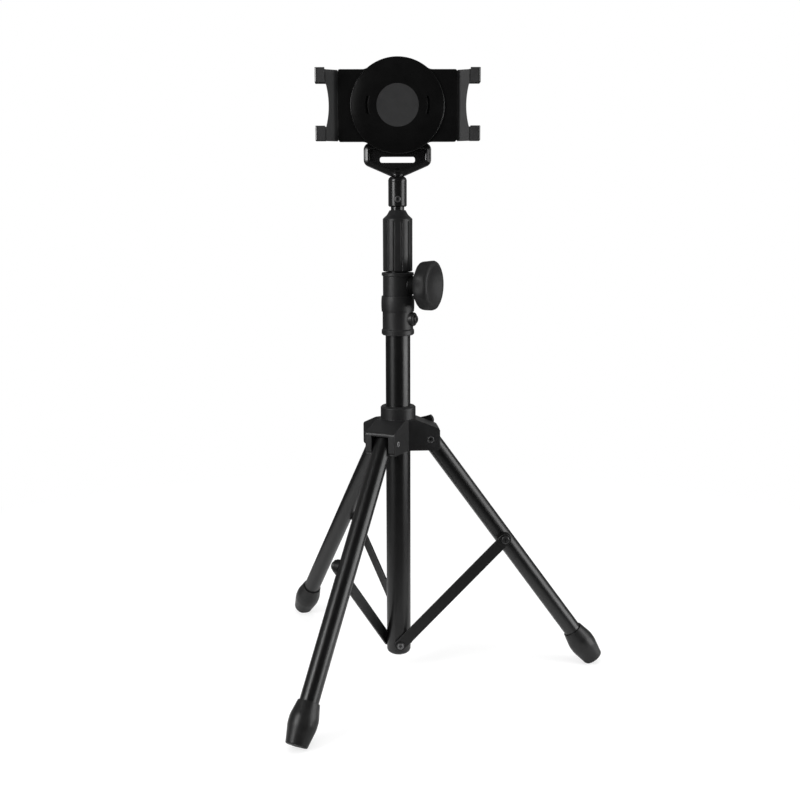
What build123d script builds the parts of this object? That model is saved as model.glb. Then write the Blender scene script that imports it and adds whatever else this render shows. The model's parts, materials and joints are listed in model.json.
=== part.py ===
from build123d import *
import math
import os

os.makedirs("parts", exist_ok=True)

# Adjustable tablet floor stand: a folding three-leg base, a mast of three tubes and a
# spring-loaded tablet holder. Lengths are in millimetres and angles in degrees. The origin is
# on the floor under the mast, +Z is up and -Y is the front. The right leg points 3 degrees
# behind +X.

# Common fits
fixed_gap = 0.05            # between pieces that are fixed to each other
running_gap = 0.08          # round a shaft that turns or slides in its bore
side_gap = 0.3              # beside a piece that moves past another
overrun = 5.0               # how far a cutter runs past the face that it opens

# Leg layout and fold
right_azimuth = 3           # right leg behind +X
leg_count = 3
leg_angle = 35.9            # of an open leg from the mast
hub_pivot_radius = 38.5     # leg pivots from the mast's axis
leg_length = 361.6          # from the hub pivot to the foot's end
foot_flat_depth = 1.8       # how much of the foot's edge the floor flattens
brace_pin_distance = 158.8  # from the hub pivot down the leg to the brace pin
mast_pin_height = 35.3      # brace pins at the mast's foot above the floor
mast_pin_offset = 0.8       # the same pins outward from the mast's axis plane

# Leg tubes, top plugs and rubber feet
leg_tube_radius = 11.0
leg_tube_wall = 1.2
leg_top_overhang = 4.8      # tube above the hub pivot
plug_cap_height = 3.4
plug_cap_round = 3.2
plug_depth = 14.0
foot_length = 47.5
foot_mouth_wall = 1.6
foot_belly_radius = 16.5
foot_end_radius = 12.3
foot_belly_start = 17.0     # from the mouth down to the widest part
foot_belly_length = 9.0
foot_belly_round = 28.0
foot_edge_round = 1.5
foot_floor = 9.0            # rubber under the tube's end

# Braces between the mast's foot and the legs
brace_width = 14.5
brace_thickness = 2.5
brace_edge = 0.4
brace_bolt_radius = 3.0
brace_head_radius = 5.2
brace_head_height = 3.0
brace_head_round = 2.0
socket_radius = 2.0
socket_depth = 1.6
saddle_radius = 8.0
saddle_wrap = 3.5           # how deep the saddle hugs the leg's side
rivet_radius = 2.5
rivet_head_radius = 4.8
rivet_head_height = 2.6
rivet_inner_radius = 4.2
rivet_inner_height = 1.8

# Mast's outer tube
mast_radius = 15.0
mast_wall = 1.5
mast_bottom = 26.0          # above the floor
flat_reach = 14.0           # from the axis to the three pressed flats
flat_top = 64.0
flat_run_out = 36.0         # height over which a flat fades into the round tube
brace_standoff = 0.6        # between a flat and the brace beside it
end_plug_lip = 0.6          # plug's rim inside the tube's outline
end_plug_skirt = 3.0
end_plug_bowl = 4.6
end_plug_tip_height = 2.4
end_plug_tip_radius = 3.0
end_plug_point_radius = 1.0
end_plug_depth = 3.0

# Leg hub that slides on the mast
hub_barrel_radius = 21.4
hub_drop = 13.4             # barrel's lower edge under the pivots
hub_rise = 39.8             # barrel's top above the pivots
hub_top_edge = 1.6
hub_arm_wall = 7.9          # plastic at each side of the leg
hub_arm_beyond = 11.3       # from the leg pivot to the arm's end
hub_arm_end_rise = 13.2     # arm's top above the pivots at its outer corner
hub_arm_root_rise = 24.4    # arm's top above the pivots where it meets the barrel
hub_arm_corner = 4.0
hub_arm_edge = 1.2
hub_roof = 2.6
hub_pocket_depth = 15.1     # from the leg pivot in to the pocket's inner end
pivot_bolt_radius = 2.4
pivot_head_radius = 3.9
pivot_head_height = 2.6
pivot_sink = 3.0            # depth of the recess for head and nut
pivot_nut_radius = 3.5
pivot_nut_height = 2.7

# Hub lock screw with its wing head
lock_azimuth = 63
lock_rise = 12.5            # screw's axis above the pivots
lock_boss_radius = 7.5
lock_boss_reach = 29.0
lock_screw_radius = 3.0
lock_hub_radius = 6.5
lock_hub_start = 38.0
lock_hub_end = 52.0
lock_wing_span = 48.0
lock_wing_height = 13.0
lock_wing_waist = 8.0
lock_wing_thickness = 5.0
lock_wing_turn = 9         # how far the wing head stands turned from level
lock_wing_start = 42.0

# Height collar at the mast's top
collar_hub_clearance = 7.2  # between the folded hub and the collar
collar_flange_radius = 19.7
collar_flange_height = 4.4
collar_lead_in = 1.6
collar_lower_radius = 18.5
collar_lower_length = 28.3
collar_band_radius = 19.5
collar_band_belly = 0.5
collar_band_length = 18.7
collar_upper_radius = 17.9
collar_upper_length = 28.2
collar_rim_radius = 19.3
collar_rim_height = 4.3
collar_edge = 0.7
collar_cover = 3.4          # plastic over the outer tube's end
collar_screw_drop = 8.8     # collar screw's axis under the band
collar_boss_radius = 8.3
collar_boss_reach = 22.8
collar_boss_round = 2.2
collar_head_radius = 5.0
collar_head_height = 2.4
collar_head_round = 1.8
collar_screw_radius = 2.5

# Height knob, its screw and its pressure pad
knob_azimuth = -25
knob_drop = 14.9            # knob's axis under the collar's top
knob_boss_radius = 9.2
knob_boss_reach = 25.0
knob_neck_radius = 8.6
knob_back_start = 25.4
knob_back_radius = 23.0
knob_back_reach = 31.0
knob_radius = 28.8
knob_rim_start = 34.5
knob_rim_end = 45.8
knob_face_reach = 48.6
knob_face_radius = 24.5
knob_dish_radius = 19.5
knob_dish_floor_radius = 11.0
knob_dish_depth = 5.5
knob_centre_radius = 6.0
knob_centre_rise = 2.0
knob_lobes = 8
knob_scallop_radius = 15.0
knob_scallop_depth = 1.3
knob_screw_radius = 4.0
knob_screw_end = 38.0
pad_radius = 3.6
pad_length = 3.0

# Middle and upper tubes with their guides
middle_radius = 12.5
middle_wall = 1.2
middle_bottom_clearance = 6.0   # above the top of the mast's flats
guide_length = 22.0
guide_plug_depth = 9.0
guide_plug_wall = 1.4
bush_length = 34.0
rod_radius = 8.0
rod_wall = 1.2
rod_bottom_clearance = 12.0
rod_overlap = 60.0
rod_guide_length = 18.0

# Twist lock: threaded body, split collet and ribbed grip
grip_gap = 1.2              # between the collar's top and the grip
grip_radius = 17.7
grip_body_length = 62.0
grip_shoulder_radius = 12.6
grip_shoulder_rise = 4.9
grip_nose_radius = 9.4
grip_nose_rise = 5.4
grip_foot_round = 1.6
grip_ribs = 12
grip_groove_radius = 1.3
grip_groove_depth = 1.0
grip_groove_top = 2.5
grip_bore_wall = 2.7
lock_body_radius = 14.6
lock_body_base = 2.5        # its lower edge above the grip's lower edge
lock_body_headroom = 14.5   # from its top to the top of the grip's ribs
middle_top_inset = 16.0     # tube's end under the lock body's top
collet_seat_depth = 10.0
collet_wall = 1.6
collet_flare = 2.2
collet_headroom = 3.5       # from its top to the top of the grip's ribs
collet_slit = 1.2
collet_slits = 4

# Neck sleeve and set screw
rod_show = 3.9              # rod seen between the grip and the sleeve
sleeve_radius = 11.0
sleeve_length = 35.6
sleeve_top_radius = 6.9
sleeve_top_round_height = 6.5
sleeve_foot_edge = 1.4
sleeve_rod_depth = 17.0
stem_radius = 6.0
stem_depth = 16.0
set_screw_height = 8.8
set_screw_radius = 2.5
set_screw_head_radius = 4.0
set_screw_head_reach = 12.3
set_screw_head_sink = 9.6
set_screw_head_round = 0.9

# Yoke: a rimmed plate with a slot, bent back to an upright behind the holder
yoke_half_width = 39.8
yoke_neck_half = 8.3
yoke_shoulder_rise = 13.6   # widest corner above the sleeve's top
yoke_rise = 38.6            # rim's top above the sleeve's top
yoke_corner = 8.0
yoke_depth = 9.0
yoke_rim = 5.0
yoke_rim_round = 2.6
yoke_web = 3.4
yoke_slot_width = 41.4
yoke_slot_height = 6.8
yoke_slot_round = 2.6
yoke_slot_rise = 19.0       # slot's centre above the sleeve's top
yoke_nub_radius = 4.6
yoke_nub_rise = 7.0
yoke_nub_flat = 1.8
upright_front = 12.0        # its front face behind the mast's axis
upright_thickness = 4.0
upright_foot_half = 30.0
upright_top_half = 17.3
shelf_rise = 30.4           # bend's underside above the sleeve's top
shelf_thickness = 4.0
upright_head = 4.0          # its top above the tilt axis
gusset_depth = 5.0
gusset_thickness = 3.0
gusset_height = 26.0

# Tilt hinge and swivel behind the holder
tilt_rise = 79.4            # tilt axis above the sleeve's top
tilt_axis_back = 5.0        # tilt axis behind the mast's axis
cheek_radius = 8.0
cheek_thickness = 5.0
tongue_width = 24.0
tilt_bolt_radius = 3.0
tilt_head_radius = 5.5
tilt_head_height = 3.4
tilt_head_round = 1.6
tilt_nut_radius = 5.6
tilt_nut_height = 5.0
tilt_washer_radius = 6.6
tilt_washer_height = 1.2
swivel_plate_radius = 24.0
swivel_plate_thickness = 3.6
swivel_spigot_radius = 13.0
retainer_radius = 17.5
retainer_thickness = 2.4
swivel_screw_radius = 2.5
swivel_screw_length = 11.0
swivel_screw_head_radius = 4.6
swivel_screw_head_height = 1.6

# Holder housing, measured forward from the mast's axis
housing_back = 8.5
housing_floor = 2.5
housing_half_width = 68.6
housing_half_height = 40.4
housing_corner = 2.5
housing_wall = 1.2
disc_radius = 54.5
disc_blend = 11.0
parting_depth = 17.1
cover_inner_depth = 19.0
cover_front = 22.5
disc_wall_depth = 24.2
disc_edge = 1.0
dome_front = 28.8
dome_rim_radius = 26.3
plate_radius = 24.2
plate_thickness = 1.6
slot_track_radius = 34.9
slot_track_width = 4.4
slot_track_height = 20.4
slot_track_depth = 2.6
post_across = 16.0
post_up = 45.6
post_radius = 3.4
holder_screw_radius = 1.5
holder_screw_head_radius = 2.7
holder_screw_head_height = 1.5
holder_screw_length = 12.0

# Sliding wings with claws, rack and pinion
wing_back = 15.5
wing_thickness = 3.2
wing_inner_edge = 38.0
wing_half_height = 38.9
wing_ramp_half_height = 40.0
wing_ramp_start = 69.2
wing_ramp_width = 13.2
wing_ramp_rise = 7.0
wing_travel = 30.0
claw_reach = 11.6           # from the ramp's end to the claw's outer face
claw_wall = 2.5
claw_lip_length = 11.2      # from the claw's outer face in to the lip's edge
claw_lip_thickness = 2.6
claw_front = 42.0
claw_low = 24.0
claw_high = 40.3
claw_round = 1.8
cut_out_inset = 3.2         # from the ramp's end in to the deepest point of the cut
cut_out_sagitta = 3.0
pad_thickness = 1.0
pad_inset = 1.5
gear_module = 1.0
gear_teeth = 16
gear_pressure_angle = 20
gear_clearance = 0.25       # between a tooth's tip and the space's floor
gear_backlash = 0.24
gear_thickness = 3.0
gear_pin_radius = 2.5
rack_back = 14.6            # rack's back from the pinion's axis
rack_tip = 34.5             # rack's end past the pinion at rest
flank_steps = 4
spring_track = 28.0         # springs above and below the pinion
spring_anchor = 30.0
spring_radius = 1.6
spring_wire = 0.5
anchor_radius = 1.6
spring_pin_radius = 1.2

# Places that follow from the sizes above
leg_azimuths = {
    "right": right_azimuth,
    "front": right_azimuth - 360 / leg_count,
    "rear": right_azimuth + 360 / leg_count,
}
hub_arm_width = 2 * (leg_tube_radius + side_gap + hub_arm_wall)
hub_arm_reach = hub_pivot_radius + hub_arm_beyond
hub_pocket_root = hub_pivot_radius - hub_pocket_depth
cos_leg = math.cos(math.radians(leg_angle))
sin_leg = math.sin(math.radians(leg_angle))
pivot_height = leg_length * cos_leg + foot_end_radius * sin_leg - foot_flat_depth
brace_pin_radius = hub_pivot_radius + brace_pin_distance * sin_leg
brace_pin_height = pivot_height - brace_pin_distance * cos_leg
brace_length = math.hypot(brace_pin_radius - mast_pin_offset, brace_pin_height - mast_pin_height)
folded_rise = math.sqrt(brace_length**2 - (hub_pivot_radius - mast_pin_offset) ** 2)
hub_travel = mast_pin_height + folded_rise + brace_pin_distance - pivot_height
brace_near = flat_reach + brace_standoff
brace_far = brace_near + brace_thickness
hub_bottom = pivot_height - hub_drop
hub_top = pivot_height + hub_rise
lock_height = pivot_height + lock_rise
collar_bottom = hub_top + hub_travel + collar_hub_clearance
band_bottom = collar_bottom + collar_lower_length
upper_bottom = band_bottom + collar_band_length
collar_top = upper_bottom + collar_upper_length
mast_top = collar_top - collar_cover
knob_height = collar_top - knob_drop
collar_screw_height = band_bottom - collar_screw_drop
grip_bottom = collar_top + grip_gap
grip_body_top = grip_bottom + grip_body_length
grip_top = grip_body_top + grip_shoulder_rise + grip_nose_rise
lock_body_bottom = grip_bottom + lock_body_base
lock_body_top = grip_body_top - lock_body_headroom
middle_top = lock_body_top - middle_top_inset
middle_bottom = flat_top + flat_run_out + middle_bottom_clearance
middle_travel = mast_top - bush_length - side_gap - middle_bottom - guide_length
sleeve_bottom = grip_top + rod_show
sleeve_top = sleeve_bottom + sleeve_length
rod_top = sleeve_bottom + sleeve_rod_depth
rod_bottom = middle_bottom + rod_bottom_clearance
rod_travel = middle_top - rod_overlap - rod_bottom
tilt_height = sleeve_top + tilt_rise
wing_front = wing_back + wing_thickness
wing_ramp_end = wing_ramp_start + wing_ramp_width
claw_outer = wing_ramp_end + claw_reach
claw_lip_edge = claw_outer - claw_lip_length
cut_out_middle = wing_ramp_end - cut_out_inset
pitch_radius = gear_module * gear_teeth / 2
pinion_turn = math.degrees(wing_travel / pitch_radius)
leg_ratio = leg_angle / hub_travel
brace_lean_open = math.degrees(math.asin((brace_pin_radius - mast_pin_offset) / brace_length))
brace_lean_folded = math.degrees(math.asin((hub_pivot_radius - mast_pin_offset) / brace_length))
brace_swing = brace_lean_open - brace_lean_folded

BASE = (Align.CENTER, Align.CENTER, Align.MIN)


def save(name, *solids):
    """Write one node, made of one or more separate solids."""
    shape = solids[0] if len(solids) == 1 else Compound(children=list(solids))
    export_step(shape, "parts/" + name + ".step")


def turned(*corners):
    """Solid turned about the vertical axis from (radius, height) corners."""
    return revolve(Plane.XZ * make_face(Polyline(*corners, close=True)), Axis.Z)


def ring(outer, inner, low, high):
    """Plain round sleeve between two heights."""
    return turned((inner, low), (outer, low), (outer, high), (inner, high))


def bar(radius, start, end):
    """Round bar between two points."""
    run = Vector(*end) - Vector(*start)
    return Plane(origin=start, z_dir=run) * Cylinder(radius, run.length, align=BASE)


def raised(outline, low, high):
    """Flat outline made thick between two heights."""
    return Pos(0, 0, low) * extrude(outline, high - low)


def slab(outline, near, far):
    """Outline drawn in X and Z, thick from y = near to y = far."""
    return Pos(0, far, 0) * extrude(Plane.XZ * outline, far - near)


def side_slab(outline, low, high):
    """Outline drawn in Y and Z, thick from x = low to x = high."""
    return Pos(low, 0, 0) * extrude(Plane.YZ * outline, high - low)


def facing(azimuth, height):
    """Place whose local Z points level and outward from the mast's axis."""
    return Rot(0, 0, azimuth) * Pos(0, 0, height) * Rot(0, 90, 0)


def domed_head(radius, round_height, low, high):
    """Screw head with a quarter-round shoulder."""
    head = Pos(0, 0, low) * Cylinder(radius, high - low, align=BASE)
    return fillet(head.edges().sort_by(Axis.Z)[-1], round_height)


def socket(high):
    """Hexagon recess that opens at a head's top."""
    return raised(RegularPolygon(socket_radius, 6), high - socket_depth, high + overrun)


def leg_place():
    """Local Z runs down the open leg from its hub pivot; local X points up and outward."""
    return Plane(
        origin=(hub_pivot_radius, 0, pivot_height),
        x_dir=(cos_leg, 0, sin_leg),
        z_dir=(sin_leg, 0, -cos_leg),
    )


# Mast: the outer tube, pressed into three flats at its foot, and its end plug


def pressed_flats(reach, radius):
    """The three wedges that pressing takes off a round section of the given radius."""
    beyond = radius + overrun
    outline = Polyline(
        (reach, mast_bottom - overrun),
        (reach, flat_top),
        (radius, flat_top + flat_run_out),
        (beyond, flat_top + flat_run_out),
        (beyond, mast_bottom - overrun),
        close=True,
    )
    wedge = slab(make_face(outline), -radius, radius)
    return [Rot(0, 0, azimuth - 90) * wedge for azimuth in leg_azimuths.values()]


def make_outer_tube():
    bore_radius = mast_radius - mast_wall
    body = ring(mast_radius, 0, mast_bottom, mast_top) - pressed_flats(flat_reach, mast_radius)
    bore = ring(bore_radius, 0, mast_bottom - overrun, mast_top + overrun)
    bore -= pressed_flats(flat_reach - mast_wall, bore_radius)
    tube = body - bore
    for azimuth in leg_azimuths.values():
        hole = bar(
            rivet_radius + fixed_gap,
            (mast_pin_offset, 0, mast_pin_height),
            (mast_pin_offset, -mast_radius - overrun, mast_pin_height),
        )
        tube -= Rot(0, 0, azimuth) * hole
    knob_hole = Cylinder(knob_screw_radius + side_gap, mast_radius + overrun, align=BASE)
    screw_hole = Cylinder(collar_screw_radius + fixed_gap, mast_radius + overrun, align=BASE)
    tube -= facing(knob_azimuth, knob_height) * knob_hole
    tube -= facing(knob_azimuth, collar_screw_height) * screw_hole
    return tube


def make_end_plug():
    rim = mast_radius - end_plug_lip
    skirt = mast_bottom - end_plug_skirt
    bowl = mast_bottom - end_plug_bowl
    cap = turned(
        (0, mast_bottom),
        (rim, mast_bottom),
        (rim, skirt),
        (end_plug_tip_radius, bowl),
        (end_plug_point_radius, bowl - end_plug_tip_height),
        (0, bowl - end_plug_tip_height),
    )
    cap -= pressed_flats(flat_reach - end_plug_lip, mast_radius)
    insert_radius = flat_reach - mast_wall - side_gap
    return cap + ring(insert_radius, 0, mast_bottom, mast_bottom + end_plug_depth)


def make_foot_rivet():
    """Rivet through one flat; the brace turns between the flat and the outer head."""
    seat = brace_far + side_gap
    inner = flat_reach - mast_wall
    rivet = bar(
        rivet_radius,
        (mast_pin_offset, -inner, mast_pin_height),
        (mast_pin_offset, -seat, mast_pin_height),
    )
    rivet += bar(
        rivet_inner_radius,
        (mast_pin_offset, -inner, mast_pin_height),
        (mast_pin_offset, -inner + rivet_inner_height, mast_pin_height),
    )
    place = Plane(origin=(mast_pin_offset, 0, mast_pin_height), z_dir=(0, -1, 0))
    head = domed_head(rivet_head_radius, brace_head_round, seat, seat + rivet_head_height)
    return rivet + place * head


# Legs: tube, top plug, rubber foot and the saddle that the brace bears on


def make_leg_tube():
    tube_end = leg_length - foot_floor
    tube = ring(leg_tube_radius, leg_tube_radius - leg_tube_wall, -leg_top_overhang, tube_end)
    tube -= bar(
        pivot_bolt_radius + running_gap,
        (0, -leg_tube_radius - overrun, 0),
        (0, leg_tube_radius + overrun, 0),
    )
    return tube


def make_leg_plug():
    bore = leg_tube_radius - leg_tube_wall - fixed_gap
    cap = Pos(0, 0, -leg_top_overhang - plug_cap_height) * Cylinder(
        leg_tube_radius, plug_cap_height, align=BASE
    )
    cap = fillet(cap.edges().sort_by(Axis.Z)[0], plug_cap_round)
    plug = cap + ring(bore, 0, -leg_top_overhang, plug_depth - leg_top_overhang)
    plug -= bar(pivot_bolt_radius + running_gap, (0, -bore, 0), (0, bore, 0))
    return plug


def make_rubber_foot():
    mouth = leg_length - foot_length
    bore = leg_tube_radius + fixed_gap
    belly = mouth + foot_belly_start
    side = FilletPolyline(
        (bore + foot_mouth_wall, mouth),
        (foot_belly_radius, belly),
        (foot_belly_radius, belly + foot_belly_length),
        (foot_end_radius, leg_length),
        radius=foot_belly_round,
    )
    tube_end = leg_length - foot_floor + fixed_gap
    rest = Polyline(
        (foot_end_radius, leg_length),
        (0, leg_length),
        (0, tube_end),
        (bore, tube_end),
        (bore, mouth),
        (bore + foot_mouth_wall, mouth),
    )
    foot = revolve(Plane.XZ * make_face([side, rest]), Axis.Z)
    rim = foot.edges().group_by(Axis.Z)[-1]
    return fillet(rim, foot_edge_round)


def make_saddle():
    """Boss on the leg's side with a hollow that seats on the tube."""
    boss = bar(
        saddle_radius,
        (0, leg_tube_radius - saddle_wrap, brace_pin_distance),
        (0, brace_near - side_gap, brace_pin_distance),
    )
    tube = ring(leg_tube_radius + fixed_gap, 0, 0, leg_length)
    return boss - tube


def make_brace():
    ends = Polyline(
        (mast_pin_offset, mast_pin_height), (brace_pin_radius, brace_pin_height)
    )
    middle = ends @ 0.5
    lean = math.degrees(
        math.atan2(brace_pin_height - mast_pin_height, brace_pin_radius - mast_pin_offset)
    )
    outline = Pos(middle.X, middle.Y) * Rot(0, 0, lean) * SlotCenterToCenter(
        brace_length, brace_width
    )
    brace = slab(outline, -brace_far, -brace_near)
    long_edges = brace.edges().filter_by(GeomType.LINE).filter_by(Axis.Y, reverse=True)
    brace = chamfer(long_edges, brace_edge)
    for x, z, radius in (
        (mast_pin_offset, mast_pin_height, rivet_radius),
        (brace_pin_radius, brace_pin_height, brace_bolt_radius),
    ):
        brace -= bar(
            radius + running_gap,
            (x, -brace_near + overrun, z),
            (x, -brace_far - overrun, z),
        )
    return brace


def make_brace_bolt():
    """Bolt at the brace's upper end; it ends flush with the brace's inner face."""
    place = Plane(origin=(brace_pin_radius, 0, brace_pin_height), z_dir=(0, -1, 0))
    shank = Pos(0, 0, brace_near) * Cylinder(brace_bolt_radius, brace_thickness, align=BASE)
    head_top = brace_far + brace_head_height
    head = domed_head(brace_head_radius, brace_head_round, brace_far, head_top)
    return place * (shank + head - socket(head_top))


# Leg hub: a barrel on the mast with three hollow arms


def arm_outline(lower, reach, drop):
    """Side view of an arm; drop lowers its roof for the pocket inside."""
    return make_face(
        Polyline(
            (0, lower),
            (reach, lower),
            (reach, pivot_height + hub_arm_end_rise - drop),
            (hub_barrel_radius, pivot_height + hub_arm_root_rise - drop),
            (0, pivot_height + hub_arm_root_rise - drop),
            close=True,
        )
    )


def make_hub_arm():
    outline = arm_outline(hub_bottom, hub_arm_reach, 0)
    corners = outline.vertices().group_by(Axis.X)[-1]
    outline = fillet(corners, hub_arm_corner)
    arm = slab(outline, -hub_arm_width / 2, hub_arm_width / 2)
    roof_edges = arm.edges().filter_by(GeomType.LINE).group_by(Axis.Z)[-1].filter_by(Axis.X)
    return fillet(roof_edges, hub_arm_edge) if roof_edges else arm


def make_hub_pocket():
    half = leg_tube_radius + side_gap
    pocket = slab(
        arm_outline(hub_bottom - overrun, hub_arm_reach + overrun, hub_roof), -half, half
    )
    keep = ring(hub_pocket_root, 0, hub_bottom - overrun, hub_top)
    return pocket - keep


def make_leg_hub():
    hub = ring(hub_barrel_radius, 0, hub_bottom, hub_top)
    hub = chamfer(hub.edges().sort_by(Axis.Z)[-1], hub_top_edge)
    arm = make_hub_arm()
    for azimuth in leg_azimuths.values():
        hub += Rot(0, 0, azimuth) * arm
    boss = Pos(0, 0, mast_radius) * Cylinder(
        lock_boss_radius, lock_boss_reach - mast_radius, align=BASE
    )
    hub += facing(lock_azimuth, lock_height) * boss
    pocket = make_hub_pocket()
    half = hub_arm_width / 2
    bolt_hole = bar(
        pivot_bolt_radius + fixed_gap,
        (hub_pivot_radius, -half - overrun, pivot_height),
        (hub_pivot_radius, half + overrun, pivot_height),
    )
    recess = bar(
        pivot_head_radius + side_gap,
        (hub_pivot_radius, -half + pivot_sink, pivot_height),
        (hub_pivot_radius, -half - overrun, pivot_height),
    )
    nut_recess = bar(
        pivot_nut_radius + side_gap,
        (hub_pivot_radius, half - pivot_sink, pivot_height),
        (hub_pivot_radius, half + overrun, pivot_height),
    )
    for azimuth in leg_azimuths.values():
        hub -= Rot(0, 0, azimuth) * (pocket + bolt_hole + recess + nut_recess)
    hub -= ring(mast_radius + running_gap, 0, hub_bottom - overrun, hub_top + overrun)
    lock_hole = Cylinder(lock_screw_radius + running_gap, lock_boss_reach + overrun, align=BASE)
    return hub - facing(lock_azimuth, lock_height) * lock_hole


def make_pivot_bolt():
    half = hub_arm_width / 2
    seat = -half + pivot_sink
    place = Plane(origin=(hub_pivot_radius, 0, pivot_height), z_dir=(0, -1, 0))
    shank = Pos(0, 0, seat - pivot_nut_height) * Cylinder(
        pivot_bolt_radius, pivot_nut_height - 2 * seat, align=BASE
    )
    head = Pos(0, 0, -seat) * Cylinder(pivot_head_radius, pivot_head_height, align=BASE)
    return place * (shank + head - socket(-seat + pivot_head_height))


def make_pivot_nut():
    half = hub_arm_width / 2
    place = Plane(origin=(hub_pivot_radius, 0, pivot_height), z_dir=(0, 1, 0))
    seat = half - pivot_sink
    nut = raised(Circle(pivot_nut_radius), seat, seat + pivot_nut_height)
    hole = Cylinder(pivot_bolt_radius + fixed_gap, half + overrun, align=BASE)
    return place * (nut - hole)


def make_lock_knob():
    """Wing head, narrow at its waist and full at its tips."""
    reach = lock_wing_span / 2
    tip = lock_wing_height / 2
    waist = lock_wing_waist / 2
    wing = make_face(
        [
            ThreePointArc((-reach, -tip), (-reach - tip / 2, 0), (-reach, tip)),
            Spline((-reach, tip), (0, waist), (reach, tip)),
            ThreePointArc((reach, tip), (reach + tip / 2, 0), (reach, -tip)),
            Spline((reach, -tip), (0, -waist), (-reach, -tip)),
        ]
    )
    turned_wing = Rot(0, 0, 90 - lock_wing_turn) * wing
    knob = raised(turned_wing, lock_wing_start, lock_wing_start + lock_wing_thickness)
    knob += turned(
        (0, lock_hub_start),
        (lock_hub_radius, lock_hub_start),
        (lock_hub_radius, lock_wing_start + lock_wing_thickness),
        (lock_hub_radius - lock_wing_thickness / 2, lock_hub_end),
        (0, lock_hub_end),
    )
    knob -= Cylinder(lock_screw_radius + fixed_gap, lock_wing_start, align=BASE)
    return facing(lock_azimuth, lock_height) * knob


def make_lock_screw():
    start = mast_radius + running_gap
    screw = Pos(0, 0, start) * Cylinder(lock_screw_radius, lock_wing_start - start, align=BASE)
    return facing(lock_azimuth, lock_height) * screw


# Height collar: lower sleeve, band and upper sleeve over the mast's end


def make_lower_sleeve():
    bore = mast_radius + fixed_gap
    sleeve = turned(
        (bore, collar_bottom),
        (collar_flange_radius - collar_lead_in, collar_bottom),
        (collar_flange_radius, collar_bottom + collar_lead_in),
        (collar_flange_radius, collar_bottom + collar_lead_in + collar_flange_height),
        (collar_lower_radius, collar_bottom + 2 * collar_lead_in + collar_flange_height),
        (collar_lower_radius, band_bottom),
        (bore, band_bottom),
    )
    place = facing(knob_azimuth, collar_screw_height)
    boss = domed_head(collar_boss_radius, collar_boss_round, bore + collar_edge, collar_boss_reach)
    sleeve += place * boss
    sleeve -= ring(bore, 0, collar_bottom, band_bottom)
    hole = Cylinder(collar_screw_radius + fixed_gap, collar_boss_reach + overrun, align=BASE)
    return sleeve - place * hole


def make_collar_band():
    bore = mast_radius + fixed_gap
    low, high = band_bottom, upper_bottom
    side = ThreePointArc(
        (collar_band_radius, low),
        (collar_band_radius + collar_band_belly, (low + high) / 2),
        (collar_band_radius, high),
    )
    rest = Polyline((collar_band_radius, high), (bore, high), (bore, low), (collar_band_radius, low))
    return revolve(Plane.XZ * make_face([side, rest]), Axis.Z)


def make_upper_sleeve():
    bore = mast_radius + fixed_gap
    neck = middle_radius + side_gap
    sleeve = turned(
        (bore, upper_bottom),
        (collar_upper_radius, upper_bottom),
        (collar_upper_radius, collar_top - collar_rim_height),
        (collar_rim_radius, collar_top - collar_rim_height + collar_edge),
        (collar_rim_radius, collar_top - collar_edge),
        (collar_rim_radius - collar_edge, collar_top),
        (neck, collar_top),
        (neck, mast_top + fixed_gap),
        (bore, mast_top + fixed_gap),
    )
    place = facing(knob_azimuth, knob_height)
    boss = Pos(0, 0, bore + collar_edge) * Cylinder(
        knob_boss_radius, knob_boss_reach - bore - collar_edge, align=BASE
    )
    sleeve += place * boss
    sleeve -= ring(bore, 0, upper_bottom, mast_top)
    sleeve -= place * Cylinder(knob_screw_radius + running_gap, knob_boss_reach + overrun, align=BASE)
    return sleeve


def make_collar_screw():
    head_top = collar_boss_reach + collar_head_height
    head = domed_head(collar_head_radius, collar_head_round, collar_boss_reach, head_top)
    start = mast_radius - mast_wall + fixed_gap
    shank = Pos(0, 0, start) * Cylinder(collar_screw_radius, collar_boss_reach - start, align=BASE)
    return facing(knob_azimuth, collar_screw_height) * (head + shank - socket(head_top))


def make_collar_bush():
    outer = mast_radius - mast_wall - fixed_gap
    bush = ring(outer, middle_radius + running_gap, mast_top - bush_length, mast_top)
    holes = Cylinder(knob_screw_radius + side_gap, mast_radius, align=BASE)
    bush -= facing(knob_azimuth, knob_height) * holes
    return bush


# Height knob


def make_height_knob():
    knob = turned(
        (0, knob_back_start),
        (knob_neck_radius, knob_back_start),
        (knob_back_radius, knob_back_reach),
        (knob_radius, knob_rim_start),
        (knob_radius, knob_rim_end),
        (knob_face_radius, knob_face_reach),
        (knob_dish_radius, knob_face_reach),
        (knob_dish_floor_radius, knob_face_reach - knob_dish_depth),
        (knob_centre_radius, knob_face_reach - knob_dish_depth),
        (knob_centre_radius, knob_face_reach - knob_dish_depth + knob_centre_rise),
        (0, knob_face_reach - knob_dish_depth + knob_centre_rise),
    )
    scallop_track = knob_radius + knob_scallop_radius - knob_scallop_depth
    for spot in PolarLocations(scallop_track, knob_lobes):
        cutter = Cylinder(knob_scallop_radius, knob_face_reach, align=BASE)
        knob -= spot * Pos(0, 0, knob_back_reach) * cutter
    knob -= Cylinder(knob_screw_radius + fixed_gap, knob_screw_end, align=BASE)
    return facing(knob_azimuth, knob_height) * knob


def make_knob_screw():
    start = mast_radius
    screw = Pos(0, 0, start) * Cylinder(knob_screw_radius, knob_screw_end - start, align=BASE)
    return facing(knob_azimuth, knob_height) * screw


def make_pressure_pad():
    """Pad between the screw's end and the middle tube, hollowed to the tube's round."""
    pad = Pos(0, 0, middle_radius - pad_length) * Cylinder(
        pad_radius, mast_radius - side_gap - middle_radius + pad_length, align=BASE
    )
    pad = facing(knob_azimuth, knob_height) * pad
    return pad - ring(middle_radius + running_gap, 0, middle_bottom, collar_top)


# Middle tube, its guide and the twist lock


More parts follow.
